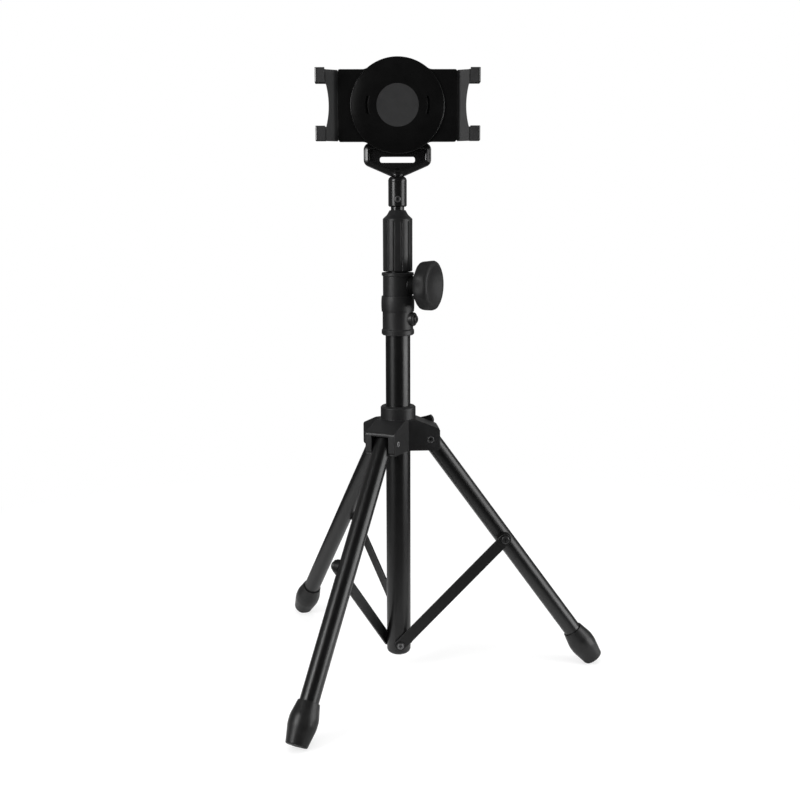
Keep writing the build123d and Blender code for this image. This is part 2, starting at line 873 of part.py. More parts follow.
def make_middle_tube():
    return ring(middle_radius, middle_radius - middle_wall, middle_bottom, middle_top)


def make_middle_guide():
    """Guide bush under the middle tube, plugged into its end."""
    slide = mast_radius - mast_wall - running_gap
    plug = middle_radius - middle_wall - fixed_gap
    bore = plug - guide_plug_wall
    low = middle_bottom - fixed_gap
    return turned(
        (bore, low - middle_bottom_clearance / 2),
        (slide, low - middle_bottom_clearance / 2),
        (slide, low + guide_length),
        (middle_radius + fixed_gap, low + guide_length),
        (middle_radius + fixed_gap, low),
        (plug, low),
        (plug, low + guide_plug_depth),
        (bore, low + guide_plug_depth),
    )


def make_lock_body():
    seat_radius = rod_radius + collet_wall + collet_flare
    return turned(
        (middle_radius + fixed_gap, lock_body_bottom),
        (lock_body_radius, lock_body_bottom),
        (lock_body_radius, lock_body_top),
        (seat_radius + fixed_gap, lock_body_top),
        (rod_radius + collet_wall + fixed_gap, lock_body_top - collet_seat_depth),
        (rod_radius + side_gap, lock_body_top - collet_seat_depth - collet_wall),
        (rod_radius + side_gap, middle_top + fixed_gap),
        (middle_radius + fixed_gap, middle_top + fixed_gap),
    )


def make_collet():
    """Split cone that the grip squeezes onto the upper rod."""
    bore = rod_radius + running_gap
    low = lock_body_top - collet_seat_depth
    wide = bore + collet_wall + collet_flare - fixed_gap
    top = grip_body_top - collet_headroom
    collet = turned(
        (bore, low),
        (bore + collet_wall - fixed_gap, low),
        (wide, lock_body_top),
        (wide, (lock_body_top + top) / 2),
        (bore + collet_wall / 2, top),
        (bore, top),
    )
    slit = Pos(0, 0, low + collet_wall) * Box(
        collet_slit, 2 * wide, top - low, align=BASE
    )
    for turn in range(collet_slits // 2):
        collet -= Rot(0, 0, turn * 180 / (collet_slits // 2)) * slit
    return collet


def make_twist_grip():
    bore = grip_radius - grip_bore_wall
    roof = lock_body_top + side_gap
    nose = rod_radius + side_gap
    inner_nose = grip_top - grip_nose_rise / 2
    collet_room = rod_radius + collet_wall + collet_flare + side_gap
    grip = turned(
        (bore, grip_bottom),
        (grip_radius, grip_bottom),
        (grip_radius, grip_body_top),
        (grip_shoulder_radius, grip_body_top + grip_shoulder_rise),
        (grip_nose_radius, grip_top),
        (nose, grip_top),
        (nose, inner_nose),
        (collet_room, grip_body_top),
        (collet_room, roof),
        (bore, roof),
    )
    outer_foot = grip.edges().filter_by(GeomType.CIRCLE).group_by(Axis.Z)[0].sort_by(SortBy.LENGTH)[-1]
    grip = fillet(outer_foot, grip_foot_round)
    track = grip_radius + grip_groove_radius - grip_groove_depth
    groove = Cylinder(
        grip_groove_radius, grip_body_length - grip_groove_top + overrun, align=BASE
    )
    half_step = 180 / grip_ribs
    cutters = [
        Rot(0, 0, half_step) * spot * Pos(0, 0, grip_bottom - overrun) * groove
        for spot in PolarLocations(track, grip_ribs)
    ]
    return grip - cutters


# Upper rod, its guide, the neck sleeve and the set screw


def make_upper_rod():
    return ring(rod_radius, rod_radius - rod_wall, rod_bottom, rod_top)


def make_rod_guide():
    slide = middle_radius - middle_wall - running_gap
    plug = rod_radius - rod_wall - fixed_gap
    low = rod_bottom - fixed_gap
    return turned(
        (0, low - guide_plug_wall),
        (slide, low - guide_plug_wall),
        (slide, low + rod_guide_length),
        (rod_radius + fixed_gap, low + rod_guide_length),
        (rod_radius + fixed_gap, low),
        (plug, low),
        (plug, low + guide_plug_depth),
        (0, low + guide_plug_depth),
    )


def make_neck_sleeve():
    shoulder = sleeve_top - sleeve_top_round_height
    bore = rod_radius + fixed_gap
    stem_bore = stem_radius + running_gap
    ledge = rod_top + fixed_gap
    round_side = ThreePointArc(
        (sleeve_radius, shoulder),
        (
            sleeve_top_radius + (sleeve_radius - sleeve_top_radius) * math.cos(math.pi / 4),
            shoulder + sleeve_top_round_height * math.sin(math.pi / 4),
        ),
        (sleeve_top_radius, sleeve_top),
    )
    rest = Polyline(
        (sleeve_top_radius, sleeve_top),
        (stem_bore, sleeve_top),
        (stem_bore, ledge),
        (bore, ledge),
        (bore, sleeve_bottom),
        (sleeve_radius - sleeve_foot_edge, sleeve_bottom),
        (sleeve_radius, sleeve_bottom + sleeve_foot_edge),
        (sleeve_radius, shoulder),
    )
    sleeve = revolve(Plane.XZ * make_face([round_side, rest]), Axis.Z)
    place = facing(-90, sleeve_bottom + set_screw_height)
    sleeve -= place * Cylinder(set_screw_radius + fixed_gap, sleeve_radius + overrun, align=BASE)
    counterbore = Pos(0, 0, set_screw_head_sink) * Cylinder(
        set_screw_head_radius + fixed_gap, sleeve_radius, align=BASE
    )
    return sleeve - place * counterbore


def make_set_screw():
    start = rod_radius + fixed_gap
    shank = Pos(0, 0, start) * Cylinder(
        set_screw_radius, set_screw_head_sink - start, align=BASE
    )
    head = domed_head(
        set_screw_head_radius, set_screw_head_round, set_screw_head_sink, set_screw_head_reach
    )
    screw = shank + head - socket(set_screw_head_reach)
    return facing(-90, sleeve_bottom + set_screw_height) * screw


# Yoke, tilt hinge and swivel


def make_yoke():
    shoulder = sleeve_top + yoke_shoulder_rise
    rim_top = sleeve_top + yoke_rise
    outline = make_face(
        Polyline(
            (-yoke_neck_half, sleeve_top),
            (yoke_neck_half, sleeve_top),
            (yoke_half_width, shoulder),
            (yoke_half_width, rim_top),
            (-yoke_half_width, rim_top),
            (-yoke_half_width, shoulder),
            close=True,
        )
    )
    side_corners = outline.vertices().group_by(Axis.X)
    outline = fillet(side_corners[0] + side_corners[-1], yoke_corner)
    rim = slab(outline, -yoke_depth / 2, yoke_depth / 2)
    rim = fillet(rim.edges().filter_by(Axis.Y, reverse=True), yoke_rim_round)
    recess_outline = offset(outline, -yoke_rim, kind=Kind.INTERSECTION)
    yoke = rim - slab(recess_outline, -yoke_depth, -yoke_web / 2)
    yoke -= slab(recess_outline, yoke_web / 2, yoke_depth)
    yoke += make_yoke_upright()
    nub = turned(
        (0, sleeve_top),
        (yoke_nub_radius, sleeve_top),
        (yoke_nub_radius, sleeve_top + yoke_nub_rise / 2),
        (yoke_nub_flat, sleeve_top + yoke_nub_rise),
        (0, sleeve_top + yoke_nub_rise),
    )
    yoke += nub
    yoke += bar(stem_radius, (0, 0, sleeve_top - stem_depth), (0, 0, sleeve_top + yoke_nub_rise / 2))
    slot = Pos(0, sleeve_top + yoke_slot_rise) * RectangleRounded(
        yoke_slot_width, yoke_slot_height, yoke_slot_round
    )
    return yoke - slab(slot, -yoke_depth, yoke_depth)


def make_yoke_upright():
    """Shelf bent back from the web, the upright behind it and the two hinge cheeks."""
    shelf_low = sleeve_top + shelf_rise
    back = upright_front + upright_thickness
    head = tilt_height + upright_head
    side_view = make_face(
        Polyline(
            (-yoke_web / 2, shelf_low),
            (back, shelf_low),
            (back, head),
            (upright_front, head),
            (upright_front, shelf_low + shelf_thickness),
            (-yoke_web / 2, shelf_low + shelf_thickness),
            close=True,
        )
    )
    bend = side_slab(side_view, -upright_foot_half, upright_foot_half)
    lower_back = bend.edges().filter_by(Axis.X).sort_by(Axis.Z)[:2].sort_by(Axis.Y)[-1]
    bend = fillet(lower_back, shelf_thickness)
    front_view = make_face(
        Polyline(
            (-upright_foot_half, shelf_low - overrun),
            (upright_foot_half, shelf_low - overrun),
            (upright_foot_half, shelf_low + 2 * shelf_thickness),
            (upright_top_half, tilt_height - cheek_radius),
            (upright_top_half, head),
            (-upright_top_half, head),
            (-upright_top_half, tilt_height - cheek_radius),
            (-upright_foot_half, shelf_low + 2 * shelf_thickness),
            close=True,
        )
    )
    upright = bend & slab(front_view, -yoke_depth, back + overrun)
    gusset_view = make_face(
        Polyline(
            (back, shelf_low + shelf_thickness),
            (back + gusset_depth, shelf_low + shelf_thickness + gusset_depth),
            (back + gusset_depth, shelf_low + gusset_height),
            (back, shelf_low + gusset_height + gusset_depth),
            close=True,
        )
    )
    for x in (-upright_top_half, upright_top_half - gusset_thickness):
        upright += side_slab(gusset_view, x, x + gusset_thickness)
    cheek_view = make_face(
        Polyline(
            (tilt_axis_back, tilt_height - cheek_radius),
            (upright_front, tilt_height - cheek_radius),
            (upright_front, tilt_height + upright_head),
            (tilt_axis_back, tilt_height + upright_head),
            close=True,
        )
    ) + Pos(tilt_axis_back, tilt_height) * Circle(cheek_radius)
    inner = tongue_width / 2 + side_gap
    for side in (-1, 1):
        low = min(side * inner, side * (inner + cheek_thickness))
        upright += side_slab(cheek_view, low, low + cheek_thickness)
    hole = bar(
        tilt_bolt_radius + fixed_gap,
        (-yoke_half_width, tilt_axis_back, tilt_height),
        (yoke_half_width, tilt_axis_back, tilt_height),
    )
    return upright - hole


def tilt_place():
    """Local Z along the tilt axis, from the axis's middle."""
    return Plane(origin=(0, tilt_axis_back, tilt_height), z_dir=(1, 0, 0))


def cheek_outer():
    return tongue_width / 2 + side_gap + cheek_thickness


def make_tilt_bolt():
    outer = cheek_outer()
    end = outer + tilt_washer_height + tilt_nut_height
    shank = Pos(0, 0, -end) * Cylinder(tilt_bolt_radius, end + outer, align=BASE)
    head_top = outer + tilt_head_height
    head = domed_head(tilt_head_radius, tilt_head_round, outer, head_top)
    return tilt_place() * (shank + head - socket(head_top))


def make_tilt_nut():
    low = cheek_outer() + tilt_washer_height
    nut = raised(RegularPolygon(tilt_nut_radius, 6), -low - tilt_nut_height, -low)
    washer = raised(Circle(tilt_washer_radius), -low, -cheek_outer())
    hole = Pos(0, 0, -low - tilt_nut_height - overrun) * Cylinder(
        tilt_bolt_radius + fixed_gap, low + tilt_nut_height + overrun, align=BASE
    )
    return tilt_place() * (nut - hole), tilt_place() * (washer - hole)


def holder_place():
    """Local X to the right, local Y up and local Z forward from the mast's axis."""
    return Plane(origin=(0, 0, tilt_height), x_dir=(1, 0, 0), z_dir=(0, -1, 0))


def make_swivel_base():
    """Round plate with a spigot in front and a hinge tongue behind."""
    front = housing_back - side_gap
    plate = raised(Circle(swivel_plate_radius), front - swivel_plate_thickness, front)
    spigot_end = housing_back + housing_floor + side_gap
    spigot = raised(Circle(swivel_spigot_radius), front, spigot_end)
    body = holder_place() * (plate + spigot)
    tongue_radius = upright_front - tilt_axis_back - side_gap
    tongue_root = -front + swivel_plate_thickness / 2
    tongue_view = make_face(
        Polyline(
            (tongue_root, tilt_height - tongue_radius),
            (tilt_axis_back, tilt_height - tongue_radius),
            (tilt_axis_back, tilt_height + tongue_radius),
            (tongue_root, tilt_height + tongue_radius),
            close=True,
        )
    ) + Pos(tilt_axis_back, tilt_height) * Circle(tongue_radius)
    tongue = side_slab(tongue_view, -tongue_width / 2, tongue_width / 2)
    body += tongue
    body -= bar(
        tilt_bolt_radius + running_gap,
        (-tongue_width, tilt_axis_back, tilt_height),
        (tongue_width, tilt_axis_back, tilt_height),
    )
    screw_hole = Pos(0, 0, spigot_end - swivel_screw_length) * Cylinder(
        swivel_screw_radius + fixed_gap, swivel_screw_length + overrun, align=BASE
    )
    return body - holder_place() * screw_hole


def retainer_depths():
    back = housing_back + housing_floor + side_gap
    return back, back + retainer_thickness


def make_swivel_retainer():
    back, front = retainer_depths()
    disc = raised(Circle(retainer_radius), back, front)
    disc -= raised(Circle(swivel_screw_radius + fixed_gap), back - overrun, front + overrun)
    disc -= raised(
        Circle(swivel_screw_head_radius + fixed_gap), front - swivel_screw_head_height, front + overrun
    )
    return holder_place() * disc


def make_swivel_screw():
    back, front = retainer_depths()
    seat = front - swivel_screw_head_height
    shank_low = back - swivel_screw_length + fixed_gap
    shank = raised(Circle(swivel_screw_radius), shank_low, seat)
    head = raised(Circle(swivel_screw_head_radius), seat, front)
    return holder_place() * (shank + head - socket(front))


# Holder housing, front cover and centre plate


def housing_outline(margin):
    """Rectangle and disc run together; margin insets the whole outline."""
    body = RectangleRounded(
        2 * (housing_half_width - margin),
        2 * (housing_half_height - margin),
        housing_corner,
    )
    outline = body + Circle(disc_radius - margin)
    joints = outline.vertices().filter_by(
        lambda vertex: abs(abs(vertex.Y) - housing_half_height + margin) < housing_wall / 4
        and abs(vertex.X) < disc_radius
    )
    return fillet(joints, disc_blend)


def end_slots():
    """Openings at both ends that the wings slide through."""
    gap = side_gap
    height = 2 * (wing_half_height + gap)
    slot = Pos(0, 0, wing_back - gap) * Box(
        2 * (housing_half_width + overrun), height, cover_inner_depth - wing_back + gap, align=BASE
    )
    return slot


def screw_posts():
    return [Pos(side * post_across, level * post_up) for side in (-1, 1) for level in (-1, 1)]


def make_back_shell():
    inner_floor = housing_back + housing_floor
    shell = raised(housing_outline(0), housing_back, parting_depth)
    shell -= raised(housing_outline(housing_wall), inner_floor, parting_depth + overrun)
    for spot in screw_posts():
        shell += spot * raised(Circle(post_radius), inner_floor, parting_depth)
    for side in (-1, 1):
        spot = Pos(side * spring_anchor, side * spring_track)
        shell += spot * raised(Circle(anchor_radius), inner_floor, wing_back + wing_thickness)
    shell -= end_slots()
    shell -= raised(Circle(swivel_spigot_radius + running_gap), 0, inner_floor + overrun)
    for spot in screw_posts():
        hole = raised(Circle(holder_screw_radius + fixed_gap), 0, parting_depth + overrun)
        head = raised(
            Circle(holder_screw_head_radius + fixed_gap), 0, housing_back + holder_screw_head_height
        )
        shell -= spot * (hole + head)
    return holder_place() * shell


def make_front_cover():
    cover = raised(housing_outline(0), parting_depth, cover_front)
    cover -= raised(housing_outline(housing_wall), parting_depth - overrun, cover_inner_depth)
    wall_top = disc_wall_depth
    dome_edge = disc_radius - disc_edge
    dome_mid = (dome_edge + dome_rim_radius) / 2
    dome_sag = disc_wall_depth + (dome_front - disc_wall_depth) * math.sin(math.pi / 3)
    dome = revolve(
        Plane.XZ
        * make_face(
            [
                Polyline(
                    (0, cover_inner_depth),
                    (disc_radius, cover_inner_depth),
                    (disc_radius, wall_top - disc_edge),
                    (dome_edge, wall_top),
                ),
                ThreePointArc(
                    (dome_edge, wall_top), (dome_mid, dome_sag), (dome_rim_radius, dome_front)
                ),
                Polyline(
                    (dome_rim_radius, dome_front), (0, dome_front), (0, cover_inner_depth)
                ),
            ]
        ),
        Axis.Z,
    )
    cover += dome
    seat = raised(Circle(plate_radius + fixed_gap), dome_front - plate_thickness, dome_front + overrun)
    track = (
        Circle(slot_track_radius + slot_track_width / 2)
        - Circle(slot_track_radius - slot_track_width / 2)
    ) & Rectangle(4 * slot_track_radius, slot_track_height)
    cover -= seat
    cover -= raised(track, dome_front - slot_track_depth - plate_thickness, dome_front)
    cover += raised(
        Circle(gear_pin_radius), wing_back - side_gap, cover_inner_depth
    )
    for spot in screw_posts():
        cover += spot * raised(Circle(post_radius), parting_depth, cover_inner_depth)
        cover -= spot * raised(
            Circle(holder_screw_radius), 0, housing_back + holder_screw_length
        )
    cover -= end_slots()
    return holder_place() * cover


def make_centre_plate():
    return holder_place() * raised(
        Circle(plate_radius), dome_front - plate_thickness, dome_front
    )


def make_holder_screws():
    screws = []
    for spot in screw_posts():
        head = raised(
            Circle(holder_screw_head_radius), housing_back, housing_back + holder_screw_head_height
        )
        shank_start = housing_back + holder_screw_head_height
        shank = raised(
            Circle(holder_screw_radius - fixed_gap), shank_start, housing_back + holder_screw_length
        )
        screws.append(holder_place() * spot * (head + shank))
    return screws


# Wings, racks, pinion and springs; each is drawn for the right side


def involute_angle(radius):
    """Involute function of the pressure angle at a radius."""
    base = pitch_radius * math.cos(math.radians(gear_pressure_angle))
    angle = math.acos(min(base / radius, 1))
    return math.tan(angle) - angle


def make_pinion():
    base = pitch_radius * math.cos(math.radians(gear_pressure_angle))
    tip = pitch_radius + gear_module
    root = pitch_radius - gear_module - gear_clearance
    half_tooth = math.pi / (2 * gear_teeth) - gear_backlash / (2 * pitch_radius)
    flank = []
    for step in range(flank_steps + 1):
        radius = base + (tip - base) * step / flank_steps
        flank.append((radius, half_tooth + involute_angle(pitch_radius) - involute_angle(radius)))
    corners = []
    for tooth in range(gear_teeth):
        middle = 2 * math.pi * tooth / gear_teeth
        foot = flank[0][1]
        side = [(root, -foot)] + [(radius, -angle) for radius, angle in flank]
        side += [(radius, angle) for radius, angle in reversed(flank)] + [(root, foot)]
        for radius, angle in side:
            turn = middle + angle
            corners.append((radius * math.cos(turn), radius * math.sin(turn)))
    gear = make_face(Polyline(*corners, close=True))
    low = (wing_back + wing_front - gear_thickness) / 2
    wheel = raised(gear, low, low + gear_thickness)
    wheel -= raised(Circle(gear_pin_radius + running_gap), 0, cover_front)
    return holder_place() * wheel


def rack_outline():
    """Rack under the pinion, with its teeth pointing up at it."""
    pitch = math.pi * gear_module
    slope = math.tan(math.radians(gear_pressure_angle))
    half = pitch / 4 - gear_backlash / 2
    tip_level = -pitch_radius + gear_module
    root_level = -pitch_radius - gear_module - gear_clearance
    tip_half = half - slope * gear_module
    root_half = half + slope * (gear_module + gear_clearance)
    corners = [(wing_inner_edge + overrun, -rack_back), (-rack_tip, -rack_back)]
    first = -math.floor((rack_tip - pitch) / pitch)
    last = math.floor(wing_inner_edge / 4 / pitch)
    corners.append((-rack_tip, root_level))
    for tooth in range(first, last):
        centre = (tooth + 0.5) * pitch
        corners += [
            (centre - root_half, root_level),
            (centre - tip_half, tip_level),
            (centre + tip_half, tip_level),
            (centre + root_half, root_level),
        ]
    corners.append((wing_inner_edge + overrun, root_level))
    return make_face(Polyline(*corners, close=True))


def make_right_wing():
    ramp_front = wing_front + wing_ramp_rise
    ramp_back = wing_back + wing_ramp_rise
    ramp_inner = wing_ramp_start + wing_thickness / 4
    plate_view = make_face(
        Polyline(
            (wing_inner_edge, -wing_back),
            (ramp_inner, -wing_back),
            (ramp_inner, -wing_front),
            (wing_inner_edge, -wing_front),
            close=True,
        )
    )
    ramp_view = make_face(
        Polyline(
            (wing_ramp_start, -wing_back),
            (ramp_inner, -wing_back),
            (wing_ramp_end + wing_thickness / 4, -ramp_back),
            (claw_outer, -ramp_back),
            (claw_outer, -ramp_front),
            (wing_ramp_end, -ramp_front),
            (wing_ramp_start, -wing_front),
            close=True,
        )
    )
    wing = raised(plate_view, -wing_half_height, wing_half_height)
    wing += raised(ramp_view, -wing_ramp_half_height, wing_ramp_half_height)
    claw_view = make_face(
        Polyline(
            (wing_ramp_end, -ramp_front),
            (wing_ramp_end + wing_thickness / 4, -ramp_back),
            (claw_outer, -ramp_back),
            (claw_outer, -claw_front),
            (claw_lip_edge, -claw_front),
            (claw_lip_edge, -claw_front + claw_lip_thickness),
            (claw_outer - claw_wall, -claw_front + claw_lip_thickness),
            (claw_outer - claw_wall, -ramp_front),
            close=True,
        )
    )
    outer_corners = claw_view.vertices().group_by(Axis.X)[-1]
    claw_view = fillet(outer_corners, claw_round)
    for low in (claw_low, -claw_high):
        wing += raised(claw_view, low, low + claw_high - claw_low)
    cut_radius = (claw_low**2 + cut_out_sagitta**2) / (2 * cut_out_sagitta)
    cut = Pos(cut_out_middle + cut_radius, 0) * Circle(cut_radius)
    cut &= Rectangle(4 * claw_outer, 2 * claw_low)
    place = Pos(0, 0, tilt_height)
    wing = place * wing
    wing -= holder_place() * raised(cut, 0, claw_front + overrun)
    wing += holder_place() * raised(rack_outline(), wing_back, wing_front)
    peg_low = (wing_inner_edge + 2 * spring_pin_radius, -spring_track)
    wing -= holder_place() * Pos(*peg_low) * raised(
        Circle(spring_pin_radius), wing_back - overrun, wing_front + overrun
    )
    return wing


def make_right_pads():
    """Thin pads on the inner faces of the two claws."""
    inner = claw_outer - claw_wall - fixed_gap
    back = wing_front + wing_ramp_rise + pad_inset
    front = claw_front - claw_lip_thickness - pad_inset
    pads = []
    for low in (claw_low, -claw_high):
        box = Box(
            pad_thickness,
            claw_high - claw_low - 2 * pad_inset,
            front - back,
            align=(Align.MAX, Align.MIN, Align.MIN),
        )
        pads.append(holder_place() * Pos(inner, low + pad_inset, back) * box)
    return pads


def make_right_spring():
    """Closely wound extension spring as a plain sleeve from its anchor to the right wing."""
    depth = (wing_back + wing_front) / 2
    start = (-spring_anchor + anchor_radius + fixed_gap, -spring_track, depth)
    end = (wing_inner_edge - fixed_gap, -spring_track, depth)
    sleeve = bar(spring_radius, start, end) - bar(spring_radius - spring_wire, start, end)
    return holder_place() * sleeve


def to_left(shape):
    """Half turn about the holder's own axis, from the right side to the left."""
    centre = Axis((0, 0, tilt_height), (0, 1, 0))
    return shape.rotate(centre, 180)


# Write every node

save("outer_tube", make_outer_tube())
save("mast_end_plug", make_end_plug())
save("brace_foot_rivets", *[Rot(0, 0, a) * make_foot_rivet() for a in leg_azimuths.values()])
for leg, azimuth in leg_azimuths.items():
    turn = Rot(0, 0, azimuth)
    floor = Pos(0, 0, -leg_length) * Box(
        2 * leg_length, 2 * leg_length, leg_length, align=BASE
    )
    save(leg + "_leg_tube", turn * (leg_place() * make_leg_tube()))
    save(leg + "_leg_plug", turn * (leg_place() * make_leg_plug()))
    save(leg + "_rubber_foot", turn * ((leg_place() * make_rubber_foot()) - floor))
    save(leg + "_brace_saddle", turn * (leg_place() * make_saddle()))
    save(leg + "_brace", turn * make_brace())
    save(leg + "_brace_bolt", turn * make_brace_bolt())

save("leg_hub", make_leg_hub())
save("leg_pivot_bolts", *[Rot(0, 0, a) * make_pivot_bolt() for a in leg_azimuths.values()])
save("leg_pivot_nuts", *[Rot(0, 0, a) * make_pivot_nut() for a in leg_azimuths.values()])
save("hub_lock_knob", make_lock_knob())
save("hub_lock_screw", make_lock_screw())

save("collar_lower_sleeve", make_lower_sleeve())
save("collar_band", make_collar_band())
save("collar_upper_sleeve", make_upper_sleeve())
save("collar_screw", make_collar_screw())
save("collar_bush", make_collar_bush())
save("pressure_pad", make_pressure_pad())
save("height_knob", make_height_knob())
save("height_knob_screw", make_knob_screw())

save("middle_tube", make_middle_tube())
save("middle_tube_guide", make_middle_guide())
save("twist_lock_body", make_lock_body())
save("twist_lock_collet", make_collet())
save("twist_grip", make_twist_grip())

save("upper_rod", make_upper_rod())
save("upper_rod_guide", make_rod_guide())
save("neck_sleeve", make_neck_sleeve())
save("neck_set_screw", make_set_screw())

save("yoke", make_yoke())
save("tilt_bolt", make_tilt_bolt())
save("tilt_nut_and_washer", *make_tilt_nut())
save("swivel_base", make_swivel_base())
save("swivel_retainer", make_swivel_retainer())
save("swivel_screw", make_swivel_screw())

save("holder_back_shell", make_back_shell())
save("holder_front_cover", make_front_cover())
save("centre_plate", make_centre_plate())
save("holder_screws", *make_holder_screws())
save("wing_pinion", make_pinion())
right_wing = make_right_wing()
right_pads = make_right_pads()
right_spring = make_right_spring()
save("right_wing", right_wing)
save("left_wing", to_left(right_wing))
save("right_claw_pads", *right_pads)
save("left_claw_pads", *[to_left(pad) for pad in right_pads])
save("right_grip_spring", right_spring)
save("left_grip_spring", to_left(right_spring))

print("pivot height", round(pivot_height, 3), "hub travel", round(hub_travel, 3))
print("brace pin", round(brace_pin_radius, 3), round(brace_pin_height, 3))
print("brace swing", round(brace_swing, 4), "leg ratio deg/mm", round(leg_ratio, 6))
print("middle travel", round(middle_travel, 3), "rod travel", round(rod_travel, 3))
print("heights: collar", round(collar_bottom, 3), round(collar_top, 3), "knob", round(knob_height, 3))
print("sleeve", round(sleeve_bottom, 3), round(sleeve_top, 3), "tilt", round(tilt_height, 3))
print("pinion turn", round(pinion_turn, 4), "screw heights", round(lock_height, 3))
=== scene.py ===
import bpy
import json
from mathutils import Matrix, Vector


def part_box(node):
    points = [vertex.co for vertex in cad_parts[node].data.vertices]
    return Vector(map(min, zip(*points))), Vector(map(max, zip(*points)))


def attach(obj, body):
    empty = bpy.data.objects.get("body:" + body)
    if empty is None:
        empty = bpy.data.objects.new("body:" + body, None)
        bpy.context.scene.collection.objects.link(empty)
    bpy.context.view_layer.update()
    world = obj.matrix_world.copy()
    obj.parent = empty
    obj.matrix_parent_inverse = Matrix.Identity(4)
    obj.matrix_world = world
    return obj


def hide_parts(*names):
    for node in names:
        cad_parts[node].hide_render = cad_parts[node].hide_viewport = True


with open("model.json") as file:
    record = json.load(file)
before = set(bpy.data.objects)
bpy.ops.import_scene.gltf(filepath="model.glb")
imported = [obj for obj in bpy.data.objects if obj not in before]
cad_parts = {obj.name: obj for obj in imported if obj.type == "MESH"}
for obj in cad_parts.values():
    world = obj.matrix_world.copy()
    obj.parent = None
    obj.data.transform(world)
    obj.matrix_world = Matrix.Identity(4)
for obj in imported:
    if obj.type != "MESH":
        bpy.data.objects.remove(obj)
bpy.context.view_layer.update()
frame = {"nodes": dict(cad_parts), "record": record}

import json
import math

import bmesh
import bpy
from mathutils import Matrix, Vector

scene = bpy.context.scene
nodes = frame["nodes"]
slot_of = {part["node"]: part["material_slot"] for part in frame["record"]["subparts"]}

LEGS = ("right", "front", "rear")

# Camera at the photograph's viewpoint
FOCAL_PIXELS = 1122.84
FRAME_PIXELS = 800.0
CENTRE_PIXEL = (398.62, 400.29)
SENSOR = 36.0
CAMERA_PLACE = (-0.01881, -1.35397, 0.5711)
CAMERA_YAW = -0.01434
CAMERA_PITCH = 0.1660
CAMERA_ROLL = -0.0029
CLIP_NEAR = 0.05
CLIP_FAR = 50.0


def add_camera():
    """Camera whose place, turn and focal length were fitted to the photograph."""
    data = bpy.data.cameras.new("photo_camera")
    data.sensor_width = SENSOR
    data.sensor_fit = "HORIZONTAL"
    data.lens = SENSOR * FOCAL_PIXELS / FRAME_PIXELS
    data.shift_x = (FRAME_PIXELS / 2 - CENTRE_PIXEL[0]) / FRAME_PIXELS
    data.shift_y = (CENTRE_PIXEL[1] - FRAME_PIXELS / 2) / FRAME_PIXELS
    data.clip_start = CLIP_NEAR
    data.clip_end = CLIP_FAR
    camera = bpy.data.objects.new("photo_camera", data)
    scene.collection.objects.link(camera)
    camera.matrix_world = (
        Matrix.Translation(CAMERA_PLACE)
        @ Matrix.Rotation(CAMERA_YAW, 4, "Z")
        @ Matrix.Rotation(math.pi / 2 - CAMERA_PITCH, 4, "X")
        @ Matrix.Rotation(CAMERA_ROLL, 4, "Z")
    )
    scene.camera = camera


add_camera()


# Studio: world, soft boxes and floor


def node_of(tree, kind, **values):
    """New shader node with plain values on the inputs that are named."""
    node = tree.nodes.new(kind)
    for socket, value in values.items():
        node.inputs[socket].default_value = value
    return node


def math_node(tree, operation, first, second):
    """Result of a Math node whose two inputs are sockets or numbers."""
    node = tree.nodes.new("ShaderNodeMath")
    node.operation = operation
    for socket, value in zip(node.inputs, (first, second)):
        if isinstance(value, bpy.types.NodeSocket):
            tree.links.new(value, socket)
        else:
            socket.default_value = value
    return node.outputs[0]


def map_range(tree, value, low, high, to_low, to_high):
    """Clamped change of value's range from low..high to to_low..to_high."""
    node = tree.nodes.new("ShaderNodeMapRange")
    node.clamp = True
    tree.links.new(value, node.inputs["Value"])
    limits = (("From Min", low), ("From Max", high), ("To Min", to_low), ("To Max", to_high))
    for socket, number in limits:
        node.inputs[socket].default_value = number
    return node.outputs["Result"]


AMBIENT = 0.35                  # world light on matt surfaces
GLOSS_FRONT = 0.03              # what gloss sees of the dark side of the studio
GLOSS_BACK = 0.20               # what gloss sees of the pale backdrop
GLOSS_TURN = (-0.35, 0.45)      # share of +Y in a direction, between front and back


def make_world():
    """White to the camera, dim for the lighting, darker in front for reflections."""
    world = bpy.data.worlds.new("studio")
    scene.world = world
    world.use_nodes = True
    tree = world.node_tree
    tree.nodes.clear()
    out = tree.nodes.new("ShaderNodeOutputWorld")
    background = tree.nodes.new("ShaderNodeBackground")
    background.inputs["Color"].default_value = (1, 1, 1, 1)
    path = tree.nodes.new("ShaderNodeLightPath")
    coords = tree.nodes.new("ShaderNodeTexCoord")
    parts = tree.nodes.new("ShaderNodeSeparateXYZ")
    tree.links.new(coords.outputs["Generated"], parts.inputs["Vector"])
    gloss = map_range(tree, parts.outputs["Y"], *GLOSS_TURN, GLOSS_FRONT, GLOSS_BACK)
    gloss_part = math_node(tree, "MULTIPLY", path.outputs["Is Glossy Ray"], gloss)
    plain_share = math_node(tree, "SUBTRACT", 1.0, path.outputs["Is Glossy Ray"])
    plain_part = math_node(tree, "MULTIPLY", plain_share, AMBIENT)
    light = math_node(tree, "ADD", gloss_part, plain_part)
    strength = math_node(tree, "MAXIMUM", light, path.outputs["Is Camera Ray"])
    tree.links.new(strength, background.inputs["Strength"])
    tree.links.new(background.outputs["Background"], out.inputs["Surface"])


def soft_box(name, place, aim, width, height, power, glossy=True):
    """Rectangular lamp that faces aim; the camera never sees it."""
    data = bpy.data.lights.new(name, "AREA")
    data.shape = "RECTANGLE"
    data.size = width
    data.size_y = height
    data.energy = power
    lamp = bpy.data.objects.new(name, data)
    scene.collection.objects.link(lamp)
    lamp.location = place
    direction = Vector(aim) - Vector(place)
    lamp.rotation_euler = direction.to_track_quat("-Z", "Y").to_euler()
    lamp.visible_camera = False
    lamp.visible_glossy = glossy


